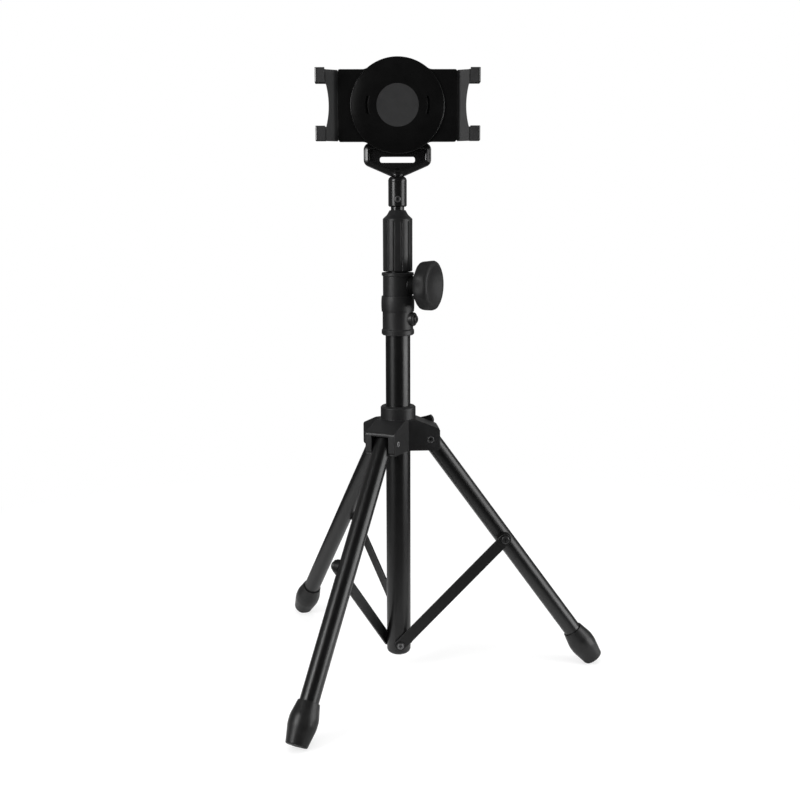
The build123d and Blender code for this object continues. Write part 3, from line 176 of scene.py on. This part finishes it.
FLOOR_RADIUS = 6.0
FLOOR_SIDES = 64
FLOOR_DROP = 0.0002             # how far the floor lies under the feet
FLOOR_TONE = 0.44               # paint that the camera sees, which takes the shadow
FLOOR_LIFT = 0.64               # glow that the camera sees, which lifts it to white
BOUNCE_REACH = (0.25, 0.75)     # distances over which the bounced light fades
BOUNCE_TONE = (0.85, 0.07)
FRONT_REACH = (-0.32, -0.05)    # Y over which the front of the floor gets darker
FRONT_SHARE = 0.36
WHITE_REACH = (0.45, 1.1)       # distances over which the floor turns plain white


def make_floor():
    """Pale floor whose far part runs into the white background."""
    mesh = bpy.data.meshes.new("studio_floor")
    form = bmesh.new()
    bmesh.ops.create_circle(form, cap_ends=True, radius=FLOOR_RADIUS, segments=FLOOR_SIDES)
    form.to_mesh(mesh)
    form.free()
    floor = bpy.data.objects.new("studio_floor", mesh)
    scene.collection.objects.link(floor)
    floor.location.z = -FLOOR_DROP
    material = bpy.data.materials.new("studio_floor_paint")
    material.use_nodes = True
    tree = material.node_tree
    tree.nodes.clear()
    out = tree.nodes.new("ShaderNodeOutputMaterial")
    paint = tree.nodes.new("ShaderNodeBsdfDiffuse")
    lift = tree.nodes.new("ShaderNodeEmission")
    white = node_of(tree, "ShaderNodeEmission", Strength=1.0)
    camera_ray = tree.nodes.new("ShaderNodeLightPath").outputs["Is Camera Ray"]
    strength = math_node(tree, "MULTIPLY", camera_ray, FLOOR_LIFT)
    tree.links.new(strength, lift.inputs["Strength"])
    near = tree.nodes.new("ShaderNodeAddShader")
    tree.links.new(paint.outputs[0], near.inputs[0])
    tree.links.new(lift.outputs[0], near.inputs[1])
    coords = tree.nodes.new("ShaderNodeTexCoord")
    reach = tree.nodes.new("ShaderNodeVectorMath")
    reach.operation = "LENGTH"
    tree.links.new(coords.outputs["Object"], reach.inputs[0])
    bounce = map_range(tree, reach.outputs["Value"], *BOUNCE_REACH, *BOUNCE_TONE)
    parts = tree.nodes.new("ShaderNodeSeparateXYZ")
    tree.links.new(coords.outputs["Object"], parts.inputs["Vector"])
    front = map_range(tree, parts.outputs["Y"], *FRONT_REACH, FRONT_SHARE, 1.0)
    bounce = math_node(tree, "MULTIPLY", bounce, front)
    seen = math_node(tree, "MULTIPLY", camera_ray, FLOOR_TONE)
    unseen = math_node(tree, "SUBTRACT", 1.0, camera_ray)
    unseen = math_node(tree, "MULTIPLY", unseen, bounce)
    tree.links.new(math_node(tree, "ADD", seen, unseen), paint.inputs["Color"])
    far = map_range(tree, reach.outputs["Value"], *WHITE_REACH, 0.0, 1.0)
    far = math_node(tree, "MULTIPLY", far, camera_ray)
    blend = tree.nodes.new("ShaderNodeMixShader")
    tree.links.new(far, blend.inputs["Fac"])
    tree.links.new(near.outputs[0], blend.inputs[1])
    tree.links.new(white.outputs[0], blend.inputs[2])
    tree.links.new(blend.outputs[0], out.inputs["Surface"])
    mesh.materials.append(material)


make_world()
make_floor()
MIDDLE = (0.0, 0.0, 0.40)       # about halfway up the stand
soft_box("right_low", (1.69, -0.39, 0.12), (0.0, 0.0, 0.14), 1.35, 0.44, 9.8)
soft_box("right_high", (1.60, -0.55, 0.54), (0.0, 0.0, 0.5), 1.10, 0.40, 5.0)
soft_box("right_top", (1.62, -0.28, 1.02), (0.0, 0.0, 0.35), 1.20, 0.46, 8.0)
soft_box("left_high", (-1.36, -1.02, 1.05), (0.0, 0.0, 0.5), 0.80, 1.00, 22.0)
soft_box("left_low", (-1.40, -0.90, 0.16), (0.0, 0.0, 0.18), 0.70, 0.40, 1.8)
soft_box("overhead", (0.1, -0.7, 2.4), MIDDLE, 1.6, 1.2, 13.0, glossy=False)
soft_box("front_fill", (0.2, -2.2, 0.9), MIDDLE, 1.2, 1.0, 8.0, glossy=False)
soft_box("back_fill", (-0.2, 2.3, 1.3), MIDDLE, 1.6, 1.4, 22.0, glossy=False)

scene.view_settings.view_transform = "Standard"


# Materials


SHADE_REACH = 0.018             # how far a corner's own shadow reaches
SHADE_SAMPLES = 8
SHADE_OPEN = (0.35, 0.95)       # openness from fully shaded to unshaded
CLOUD_DETAIL = 4.0
CLOUD_ROUGH = 0.6
CLOUD_TONES = (0.3, 0.7)        # cloud values of the darkest and palest mottling
CLOUD_GLOSS = (0.25, 0.75)      # cloud values of the glossiest and dullest patches
CLOUD_EDGE = (0.3, 0.6)         # cloud values of the least and most lightened edge patches
LEAST_EDGE = 0.35
BEVEL_SAMPLES = 4
EDGE_TURN = (0.90, 0.995)       # cosines of the bevel's turn, fully lightened and not lightened
GRAIN_DETAIL = 2.0
GRAIN_ROUGH = 0.5


def mix_colours(tree, share, first, second):
    """Colour between first and second, each a socket or a plain colour."""
    mix = tree.nodes.new("ShaderNodeMix")
    mix.data_type = "RGBA"
    tree.links.new(share, mix.inputs["Factor"])
    for socket, colour in (("A", first), ("B", second)):
        if isinstance(colour, bpy.types.NodeSocket):
            tree.links.new(colour, mix.inputs[socket])
        else:
            mix.inputs[socket].default_value = (*colour, 1)
    return mix.outputs["Result"]


def finish(
    name,
    colour,
    rough,
    grain=1500.0,
    grain_height=0.00004,
    mottle=90.0,
    mottle_share=0.12,
    rough_spread=0.04,
    specular=0.5,
    metallic=0.0,
    wear_and_glint=0.0,
    wear_and_glint_colour=(0.06, 0.06, 0.06),
    bevel_radius=0.0006,
    shade=0.0,
):
    """Procedural finish: mottled colour, uneven gloss and fine grain in relief.

    Edges get lighter when the edge share is above 0, partly as real wear and, on some finishes,
    as a painted highlight; corners get painted shade when shade is above 0.
    """
    material = bpy.data.materials.new(name)
    material.use_nodes = True
    tree = material.node_tree
    shader = tree.nodes["Principled BSDF"]
    shader.inputs["Metallic"].default_value = metallic
    shader.inputs["Specular IOR Level"].default_value = specular
    coords = tree.nodes.new("ShaderNodeTexCoord")
    noise = dict(Detail=CLOUD_DETAIL, Roughness=CLOUD_ROUGH)
    cloud = node_of(tree, "ShaderNodeTexNoise", Scale=mottle, **noise)
    tree.links.new(coords.outputs["Object"], cloud.inputs["Vector"])
    ramp = tree.nodes.new("ShaderNodeValToRGB")
    shares = (1 - mottle_share, 1 + mottle_share)
    for stop, position, share in zip(ramp.color_ramp.elements, CLOUD_TONES, shares):
        stop.position = position
        stop.color = (*(channel * share for channel in colour), 1)
    tree.links.new(cloud.outputs["Fac"], ramp.inputs["Fac"])
    paint = ramp.outputs["Color"]
    spread = (rough - rough_spread, rough + rough_spread)
    gloss = map_range(tree, cloud.outputs["Fac"], *CLOUD_GLOSS, *spread)

    if shade > 0:
        corner = node_of(tree, "ShaderNodeAmbientOcclusion", Distance=SHADE_REACH)
        corner.samples = SHADE_SAMPLES
        open_share = map_range(tree, corner.outputs["AO"], *SHADE_OPEN, 1.0 - shade, 1.0)
        paint = mix_colours(tree, open_share, (0.0, 0.0, 0.0), paint)

    # Lighter edges: real wear, and on some finishes a painted highlight along the edge
    if wear_and_glint > 0:
        bevel = node_of(tree, "ShaderNodeBevel", Radius=bevel_radius)
        bevel.samples = BEVEL_SAMPLES
        flat = tree.nodes.new("ShaderNodeNewGeometry")
        turn = tree.nodes.new("ShaderNodeVectorMath")
        turn.operation = "DOT_PRODUCT"
        tree.links.new(bevel.outputs["Normal"], turn.inputs[0])
        tree.links.new(flat.outputs["Normal"], turn.inputs[1])
        edge = map_range(tree, turn.outputs["Value"], *EDGE_TURN, wear_and_glint, 0.0)
        patchy = map_range(tree, cloud.outputs["Fac"], *CLOUD_EDGE, LEAST_EDGE, 1.0)
        edge = math_node(tree, "MULTIPLY", edge, patchy)
        paint = mix_colours(tree, edge, paint, wear_and_glint_colour)
    tree.links.new(paint, shader.inputs["Base Color"])
    tree.links.new(gloss, shader.inputs["Roughness"])

    noise = dict(Detail=GRAIN_DETAIL, Roughness=GRAIN_ROUGH)
    fine = node_of(tree, "ShaderNodeTexNoise", Scale=grain, **noise)
    tree.links.new(coords.outputs["Object"], fine.inputs["Vector"])
    relief = node_of(tree, "ShaderNodeBump", Strength=1.0, Distance=grain_height)
    tree.links.new(fine.outputs["Fac"], relief.inputs["Height"])
    tree.links.new(relief.outputs["Normal"], shader.inputs["Normal"])
    if wear_and_glint > 0:
        tree.links.new(bevel.outputs["Normal"], relief.inputs["Normal"])
    return material


FINISHES = {
    "tube_coat": finish(
        "tube_satin_black", (0.0025, 0.0025, 0.0026), 0.32, grain=1100.0, grain_height=0.0000025,
        mottle=60.0, rough_spread=0.03, specular=0.55,
    ),
    "rod_coat": finish(
        "rod_gloss_black", (0.005, 0.005, 0.0052), 0.24, grain=900.0, grain_height=0.000003,
        rough_spread=0.02, specular=0.6,
    ),
    "brace_coat": finish(
        "brace_satin_black", (0.0080, 0.0080, 0.0080), 0.38, grain=900.0, grain_height=0.00004,
        mottle=500.0, mottle_share=0.25, wear_and_glint=0.4, specular=0.3,
    ),
    "moulded_plastic": finish(
        "moulded_black_plastic", (0.0105, 0.0105, 0.0108), 0.42, grain=1200.0,
        grain_height=0.00005, wear_and_glint=0.5, specular=0.42,
    ),
    "bearing_plastic": finish(
        "bearing_plastic_dark", (0.03, 0.03, 0.03), 0.45, grain_height=0.00003,
    ),
    "grip_plastic": finish(
        "grip_black_plastic", (0.0122, 0.0122, 0.0125), 0.34, grain_height=0.00005,
        wear_and_glint=0.3, specular=0.32,
    ),
    "gloss_coat": finish(
        "neck_gloss_black", (0.005, 0.005, 0.005), 0.26, grain=900.0, grain_height=0.000003,
        rough_spread=0.02, specular=0.5, wear_and_glint=0.3,
    ),
    "yoke_plastic": finish(
        "yoke_gloss_black", (0.0075, 0.0075, 0.0075), 0.22, grain=900.0, grain_height=0.000008,
        rough_spread=0.03, specular=0.6, wear_and_glint=0.35,
    ),
    "holder_plastic": finish(
        "holder_near_black", (0.0042, 0.0042, 0.0042), 0.30, grain_height=0.000008,
        wear_and_glint=0.25, specular=0.03, wear_and_glint_colour=(0.03, 0.03, 0.03), bevel_radius=0.0004,
    ),
    "plate_plastic": finish(
        "centre_plate_grey", (0.0215, 0.0215, 0.022), 0.62, grain=1800.0, grain_height=0.00006,
        specular=0.3,
    ),
    "foot_rubber": finish(
        "foot_black_rubber", (0.0090, 0.0090, 0.0090), 0.36, grain=1200.0, grain_height=0.00009,
        mottle=160.0, mottle_share=0.3, specular=0.35, wear_and_glint=0.3,
    ),
    "pad_rubber": finish(
        "pad_black_rubber", (0.012, 0.012, 0.012), 0.7, grain_height=0.00008, specular=0.3,
    ),
    "dark_screws": finish(
        "screw_black_oxide", (0.03, 0.03, 0.03), 0.32, grain=1800.0, grain_height=0.00002,
        metallic=0.6, wear_and_glint=0.6, wear_and_glint_colour=(0.2, 0.2, 0.2), bevel_radius=0.0004,
    ),
    "plated_rivets": finish(
        "rivet_dull_plate", (0.16, 0.16, 0.165), 0.34, grain_height=0.00002,
        metallic=1.0, wear_and_glint=0.4, wear_and_glint_colour=(0.5, 0.5, 0.5), bevel_radius=0.0004,
    ),
    "spring_steel": finish(
        "spring_wire_steel", (0.4, 0.4, 0.41), 0.3, metallic=1.0, grain=2200.0,
        grain_height=0.00001,
    ),
}
# Its lighter edges are a painted highlight along the claws and wings, and its darker corners are
# painted shade.
WING = finish(
    "wing_satin_plastic", (0.0240, 0.0240, 0.0244), 0.58, grain_height=0.00005,
    wear_and_glint=0.6, specular=0.3, shade=0.2,
)
KNOB = finish(
    "knob_matt_plastic", (0.0100, 0.0100, 0.0102), 0.55, grain=1200.0, grain_height=0.00006,
    wear_and_glint=0.3, specular=0.35,
)
# Its lighter edges are partly worn oxide, partly a painted highlight on the screw and bolt
# heads.
DARK_METAL = finish(
    "blackened_steel", (0.012, 0.012, 0.0122), 0.30, grain_height=0.00002,
    specular=0.5, wear_and_glint=0.8, wear_and_glint_colour=(0.12, 0.12, 0.12), bevel_radius=0.0005,
)
EYELET = finish(
    "eyelet_zinc_plate", (0.24, 0.24, 0.245), 0.38, grain_height=0.00002,
    metallic=0.3, wear_and_glint=0.4, wear_and_glint_colour=(0.5, 0.5, 0.5), bevel_radius=0.0003,
)
# Near-black, dull cup colour: painted shade where the knob shades the collar's boss.
SHADE_CUP_BLACK = finish(
    "shade_cup_black", (0.0015, 0.0015, 0.0015), 0.7, grain_height=0.00004, specular=0.1,
)
SATIN_STEEL = finish(
    "satin_steel", (0.14, 0.14, 0.142), 0.30, grain_height=0.00001,
    metallic=0.7, wear_and_glint=0.4, wear_and_glint_colour=(0.4, 0.4, 0.4), bevel_radius=0.0003,
)
SADDLE = finish(
    "saddle_matt_black", (0.0035, 0.0035, 0.0035), 0.5, grain_height=0.00004,
    specular=0.25, wear_and_glint=0.3, wear_and_glint_colour=(0.03, 0.03, 0.03),
)
EDGE_LINE = finish(
    "edge_line_black", (0.0045, 0.0045, 0.0045), 0.26, grain_height=0.000004,
    rough_spread=0.02, specular=0.4,
)
GLOSS_TRIM = finish(
    "trim_gloss_black", (0.008, 0.008, 0.008), 0.30, grain_height=0.000004,
    rough_spread=0.02, specular=0.9,
)


# Details that the solids leave to the scene


def from_bmesh(name, form, material, body, smooth=True):
    """New piece from a bmesh, with its material, riding on body."""
    mesh = bpy.data.meshes.new(name)
    bmesh.ops.recalc_face_normals(form, faces=form.faces)
    form.to_mesh(mesh)
    form.free()
    for face in mesh.polygons:
        face.use_smooth = smooth
    piece = bpy.data.objects.new(name, mesh)
    scene.collection.objects.link(piece)
    mesh.materials.append(material)
    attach(piece, body)
    return piece


def turned_ring(form, profile, matrix, steps=48):
    """Closed (radius, height) profile turned about local Z and placed by matrix."""
    rings = []
    for step in range(steps):
        angle = 2 * math.pi * step / steps
        rings.append([
            form.verts.new(matrix @ Vector((r * math.cos(angle), r * math.sin(angle), z)))
            for r, z in profile
        ])
    count = len(profile)
    for step in range(steps):
        here, there = rings[step], rings[(step + 1) % steps]
        for k in range(count):
            n = (k + 1) % count
            form.faces.new((here[k], there[k], there[n], here[n]))


LEG_AZIMUTHS = {"right": 3.0, "front": -117.0, "rear": 123.0}
PIVOT_RADIUS = 0.0385
PIVOT_HEIGHT = 0.298323
ARM_HALF = 0.0192
OPENING_HALF = 0.0116
# The lintel's section as (distance from the mast's axis, height over the pivot)
LINTEL_OUTLINE = [
    (0.0462, 0.0094), (0.0497, 0.0094), (0.04978, 0.0102), (0.04976, 0.0112),
    (0.0496, 0.0120), (0.0493, 0.0127), (0.0480, 0.0131), (0.0462, 0.0135),
]


def leg_turn(leg):
    """Turn from a leg's own frame, with the leg along +X, to the stand's."""
    return Matrix.Rotation(math.radians(LEG_AZIMUTHS[leg]), 4, "Z")


def close_bar(form, first, last):
    """Sides and both ends of a bar between two matching rings of vertices."""
    count = len(first)
    for k in range(count):
        n = (k + 1) % count
        form.faces.new((first[k], first[n], last[n], last[k]))
    form.faces.new(first[::-1])
    form.faces.new(last)


def add_lintel(leg):
    """Bar that closes the top of the arm's opening, flush with the arm's rounded end."""
    form = bmesh.new()
    ends = []
    for y in (-OPENING_HALF, OPENING_HALF):
        ends.append([form.verts.new((x, y, PIVOT_HEIGHT + z)) for x, z in LINTEL_OUTLINE])
    close_bar(form, *ends)
    form.transform(leg_turn(leg))
    plastic = FINISHES["moulded_plastic"]
    return from_bmesh(leg + "_arm_lintel", form, plastic, "hub", smooth=False)


FOOT_RIVET_PLACE = (0.0008, -0.0199, 0.0353)    # in the leg's own frame
# Inner and outer radii of the small rolled rims
PIVOT_EYELET = (0.0019, 0.0031)
ARM_BOLT_RIM = (0.0030, 0.0040)
FOOT_RIVET_RIM = (0.0020, 0.0038)
SCREW_RIM = (0.0024, 0.0036)
RIM_RISE = 0.45                 # share of the rim's width


def add_eyelet(name, place, inner, outer, body, material):
    """Small rolled rim; local Z of place points out of the surface."""
    rise = (outer - inner) * RIM_RISE
    third = (outer - inner) / 3
    profile = [
        (inner, -rise), (inner, rise * 0.3), (inner + third * 0.4, rise * 0.8),
        (inner + third, rise), (outer - third, rise * 0.9), (outer - third * 0.2, rise * 0.3),
        (outer, -rise * 0.3), (outer - third * 0.3, -rise),
    ]
    form = bmesh.new()
    turned_ring(form, profile, place)
    return from_bmesh(name, form, material, body)


def add_arm_eyelet(leg):
    """Bright eyelet round the leg's pivot, on the nut's side of the arm."""
    place = (
        leg_turn(leg)
        @ Matrix.Translation((PIVOT_RADIUS, ARM_HALF, PIVOT_HEIGHT))
        @ Matrix.Rotation(-math.pi / 2, 4, "X")
    )
    return add_eyelet(leg + "_pivot_eyelet", place, *PIVOT_EYELET, "hub", EYELET)


def turned_solid(form, profile, matrix, steps=64, wave=None):
    """Solid of revolution from an open profile whose ends lie on the axis."""
    ends = [form.verts.new(matrix @ Vector((0, 0, profile[k][1]))) for k in (0, -1)]
    rings = []
    for radius, height in profile[1:-1]:
        ring = []
        for step in range(steps):
            angle = 2 * math.pi * step / steps
            reach = radius - (wave(radius, height, angle) if wave else 0.0)
            spot = Vector((reach * math.cos(angle), reach * math.sin(angle), height))
            ring.append(form.verts.new(matrix @ spot))
        rings.append(ring)
    for step in range(steps):
        after = (step + 1) % steps
        form.faces.new((ends[0], rings[0][step], rings[0][after]))
        form.faces.new((ends[1], rings[-1][after], rings[-1][step]))
        for low, high in zip(rings, rings[1:]):
            form.faces.new((low[step], high[step], high[after], low[after]))


KNOB_AZIMUTH = -25.0
KNOB_HEIGHT = 0.485117
KNOB_RADIUS = 0.0303
KNOB_LOBES = 8
KNOB_LOBE_DEPTH = 0.0024
KNOB_LOBE_POWER = 6             # how fast the hollows fade in from the rim
KNOB_LOBES_END = 0.0475         # height along the knob's axis where they end
KNOB_LOBES_FADE = 0.010
KNOB_PROFILE = [
    (0.0, 0.0253), (0.0120, 0.0253), (0.0128, 0.0260), (0.0160, 0.0268), (0.0215, 0.0283),
    (0.0258, 0.0304), (0.0285, 0.0330), (0.0299, 0.0358), (0.0303, 0.0388), (0.0303, 0.0425),
    (0.0299, 0.0452), (0.0287, 0.0474), (0.0268, 0.0486), (0.0248, 0.0490), (0.0229, 0.0487),
    (0.0212, 0.0479), (0.0165, 0.0459), (0.0112, 0.0440), (0.0060, 0.0429), (0.0, 0.0426),
]
SHADE_CUP_PROFILE = [
    (0.0093, 0.0170), (0.0093, 0.0251), (0.0112, 0.0251), (0.0115, 0.0246), (0.0113, 0.0225),
    (0.0108, 0.0205), (0.0110, 0.0185), (0.0106, 0.0170),
]


def knob_wave(radius, height, angle):
    """Depth of the rim's hollows, fading out toward the round face."""
    share = (radius / KNOB_RADIUS) ** KNOB_LOBE_POWER
    share *= min(1.0, max(0.0, (KNOB_LOBES_END - height) / KNOB_LOBES_FADE))
    return share * KNOB_LOBE_DEPTH * (1 + math.cos(KNOB_LOBES * angle)) / 2


def knob_place():
    """Place of the height knob's axis, whose local Z points away from the mast."""
    return (
        Matrix.Rotation(math.radians(KNOB_AZIMUTH), 4, "Z")
        @ Matrix.Translation((0, 0, KNOB_HEIGHT))
        @ Matrix.Rotation(math.pi / 2, 4, "Y")
    )


def add_knob_shade_cup():
    """Near-black cup between the collar and the knob, which puts painted shade over the collar's
    boss.
    """
    form = bmesh.new()
    turned_ring(form, SHADE_CUP_PROFILE, knob_place())
    return from_bmesh("knob_shade_cup", form, SHADE_CUP_BLACK, "mast")


def add_knob():
    """Eight soft lobes round a dished face."""
    form = bmesh.new()
    turned_solid(form, KNOB_PROFILE, knob_place(), steps=128, wave=knob_wave)
    piece = from_bmesh("height_knob_moulding", form, KNOB, "knob")
    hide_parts("height_knob")
    return piece


END_PLUG_PROFILE = [
    (0.0, 0.0290), (0.0143, 0.0290), (0.0145, 0.0262), (0.0145, 0.0250), (0.0138, 0.0234),
    (0.0118, 0.0216), (0.0085, 0.0200), (0.0050, 0.0190), (0.0025, 0.0183), (0.0, 0.0178),
]


def add_end_plug():
    """Plug under the mast, rounded down to a small point."""
    form = bmesh.new()
    turned_solid(form, END_PLUG_PROFILE, Matrix.Identity(4))
    piece = from_bmesh("mast_end_cap", form, FINISHES["moulded_plastic"], "mast")
    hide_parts("mast_end_plug")
    return piece


SLEEVE_TOP = 0.613017
NECK_CONE_PROFILE = [
    (0.0, 0.0003), (0.0076, 0.0003), (0.0076, 0.0012), (0.0070, 0.0030), (0.0057, 0.0052),
    (0.0042, 0.0074), (0.0025, 0.0091), (0.0010, 0.0099), (0.0, 0.0100),
]


def add_neck_cone():
    """Coned end of the stem, in front of the yoke's root."""
    form = bmesh.new()
    turned_solid(form, NECK_CONE_PROFILE, Matrix.Translation((0, 0, SLEEVE_TOP)))
    return from_bmesh("neck_cone", form, FINISHES["gloss_coat"], "head_yoke")


def inset(corners, depth):
    """Corners of a counter-clockwise outline moved inward by depth."""
    moved = []
    for k, corner in enumerate(corners):
        before = (corner - corners[k - 1]).normalized()
        after = (corners[(k + 1) % len(corners)] - corner).normalized()
        inward = Vector((-before.y, before.x)) + Vector((-after.y, after.x))
        moved.append(corner + inward * (depth / (1 + before.dot(after))))
    return moved


def rounded(corners, radii, steps=8):
    """Counter-clockwise convex outline as (point, outward direction) pairs."""
    path = []
    for k, (corner, radius) in enumerate(zip(corners, radii)):
        before = (corner - corners[k - 1]).normalized()
        after = (corners[(k + 1) % len(corners)] - corner).normalized()
        turn = math.acos(max(-1.0, min(1.0, before.dot(after))))
        start = corner - before * radius * math.tan(turn / 2)
        centre = start + Vector((-before.y, before.x)) * radius
        for step in range(steps + 1):
            angle = turn * step / steps
            cos, sin = math.cos(angle), math.sin(angle)
            x, y = before.y, -before.x
            outward = Vector((x * cos - y * sin, x * sin + y * cos))
            path.append((centre + outward * radius, outward))
    return path


YOKE_NECK_HALF = 0.0083
YOKE_HALF = 0.0398
YOKE_SHOULDER = 0.0136
YOKE_TOP = 0.0386
YOKE_FACE = 0.0045
YOKE_CORNER = 0.008
YOKE_ROOT_CORNER = 0.001
YOKE_OUTLINE = [
    (-YOKE_NECK_HALF, 0), (YOKE_NECK_HALF, 0), (YOKE_HALF, YOKE_SHOULDER),
    (YOKE_HALF, YOKE_TOP), (-YOKE_HALF, YOKE_TOP), (-YOKE_HALF, YOKE_SHOULDER),
]
BEAD_INSET = 0.0046
BEAD_HALF = 0.0025
BEAD_FLAT = -0.0002
BEAD_RISE = 0.0012
# The bead's section as (distance outward from its path, rise over the yoke's face)
BEAD_SECTION = [
    (BEAD_HALF, -0.0012), (BEAD_HALF, -0.0001), (BEAD_FLAT, BEAD_RISE),
    (-BEAD_HALF * 0.6, BEAD_RISE), (-BEAD_HALF, BEAD_RISE * 0.6), (-BEAD_HALF, -0.0030),
]


def add_yoke_bead(name, side):
    """Bevelled bead along the yoke's rim, on the front (side -1) or the back (side 1)."""
    corners = [Vector(corner) for corner in YOKE_OUTLINE]
    radius = YOKE_CORNER - BEAD_INSET
    radii = (YOKE_ROOT_CORNER, YOKE_ROOT_CORNER, radius, radius, radius, radius)
    path = rounded(inset(corners, BEAD_INSET), radii)
    form = bmesh.new()
    rings = []
    for point, outward in path:
        ring = []
        for across, rise in BEAD_SECTION:
            spot = point + outward * across
            ring.append(form.verts.new((spot.x, side * (YOKE_FACE + rise), SLEEVE_TOP + spot.y)))
        rings.append(ring)
    count = len(BEAD_SECTION)
    for k, ring in enumerate(rings):
        after = rings[(k + 1) % len(rings)]
        for m in range(count):
            n = (m + 1) % count
            form.faces.new((ring[m], ring[n], after[n], after[m]))
    return from_bmesh(name, form, FINISHES["yoke_plastic"], "head_yoke", smooth=False)


TILT_HEIGHT = 0.692417
DISC_EDGE_RADIUS = 0.0539
DISC_EDGE_FRONT = 0.0239
DISC_BEAD = 0.0005
DISC_BEAD_SIDES = 10
CLAW_OUTER = 0.0940
CLAW_FRONT = 0.0420
CLAW_SPAN = (0.0246, 0.0397)
# A claw bead's section as (distance out from the middle, distance in front of it)
CLAW_OUTLINE = [
    (CLAW_OUTER + 0.0001, CLAW_FRONT - 0.0018), (CLAW_OUTER + 0.0001, CLAW_FRONT - 0.0007),
    (CLAW_OUTER - 0.0014, CLAW_FRONT + 0.0001), (CLAW_OUTER - 0.0022, CLAW_FRONT + 0.0001),
    (CLAW_OUTER - 0.0022, CLAW_FRONT - 0.0012),
]


def add_disc_bead():
    """Thin raised line round the edge of the holder's disc."""
    middle = Matrix.Translation((0, -DISC_EDGE_FRONT, TILT_HEIGHT))
    place = middle @ Matrix.Rotation(math.pi / 2, 4, "X")
    profile = []
    for step in range(DISC_BEAD_SIDES):
        angle = 2 * math.pi * step / DISC_BEAD_SIDES
        radius = DISC_EDGE_RADIUS + DISC_BEAD * math.cos(angle)
        profile.append((radius, DISC_BEAD * math.sin(angle)))
    form = bmesh.new()
    turned_ring(form, profile, place, steps=128)
    return from_bmesh("disc_edge_bead", form, EDGE_LINE, "holder")


def add_claw_bead(name, side, level, body):
    """Bevelled outer edge of one claw, side is the sign of X and level the sign of Z."""
    form = bmesh.new()
    ends = []
    for span in CLAW_SPAN:
        height = TILT_HEIGHT + level * span
        ends.append([form.verts.new((side * x, -front, height)) for x, front in CLAW_OUTLINE])
    close_bar(form, *ends)
    return from_bmesh(name, form, GLOSS_TRIM, body, smooth=False)


def add_rivet_rims(leg):
    """Rims round the arm's bolt head and the rivet at the mast's foot, on one side."""
    rims = (
        ("arm_bolt", (PIVOT_RADIUS, -ARM_HALF, PIVOT_HEIGHT), ARM_BOLT_RIM, "hub"),
        ("foot_rivet", FOOT_RIVET_PLACE, FOOT_RIVET_RIM, "mast"),
    )
    for name, spot, radii, body in rims:
        place = leg_turn(leg) @ Matrix.Translation(spot) @ Matrix.Rotation(math.pi / 2, 4, "X")
        piece = add_eyelet(f"{leg}_{name}_rim", place, *radii, body, SATIN_STEEL)


def add_screw_rim():
    """Raised rim round the neck's set screw."""
    low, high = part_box("neck_set_screw")
    height = (low[2] + high[2]) / 2
    place = Matrix.Translation((0, low[1], height)) @ Matrix.Rotation(math.pi / 2, 4, "X")
    return add_eyelet("set_screw_rim", place, *SCREW_RIM, "upper_section", SATIN_STEEL)


def give_finish(node, material):
    """Give a CAD node its material."""
    mesh = nodes[node].data
    mesh.materials.clear()
    mesh.materials.append(material)


for node, slot in slot_of.items():
    give_finish(node, FINISHES[slot])
for side in ("right_wing", "left_wing"):
    give_finish(side, WING)
give_finish("height_knob", KNOB)
for node in ("leg_pivot_nuts", "leg_pivot_bolts", "brace_foot_rivets", "neck_set_screw"):
    give_finish(node, DARK_METAL)
for leg in LEGS:
    give_finish(leg + "_brace_bolt", DARK_METAL)
    give_finish(leg + "_brace_saddle", SADDLE)
    add_lintel(leg)
    add_arm_eyelet(leg)
    add_rivet_rims(leg)
add_knob()
add_knob_shade_cup()
add_end_plug()
add_neck_cone()
add_yoke_bead("yoke_front_bead", -1)
add_yoke_bead("yoke_back_bead", 1)
add_disc_bead()
for name, side, body in (("right", 1, "right_jaw"), ("left", -1, "left_jaw")):
    for place, level in (("upper", 1), ("lower", -1)):
        add_claw_bead(f"{name}_{place}_claw_bead", side, level, body)
add_screw_rim()
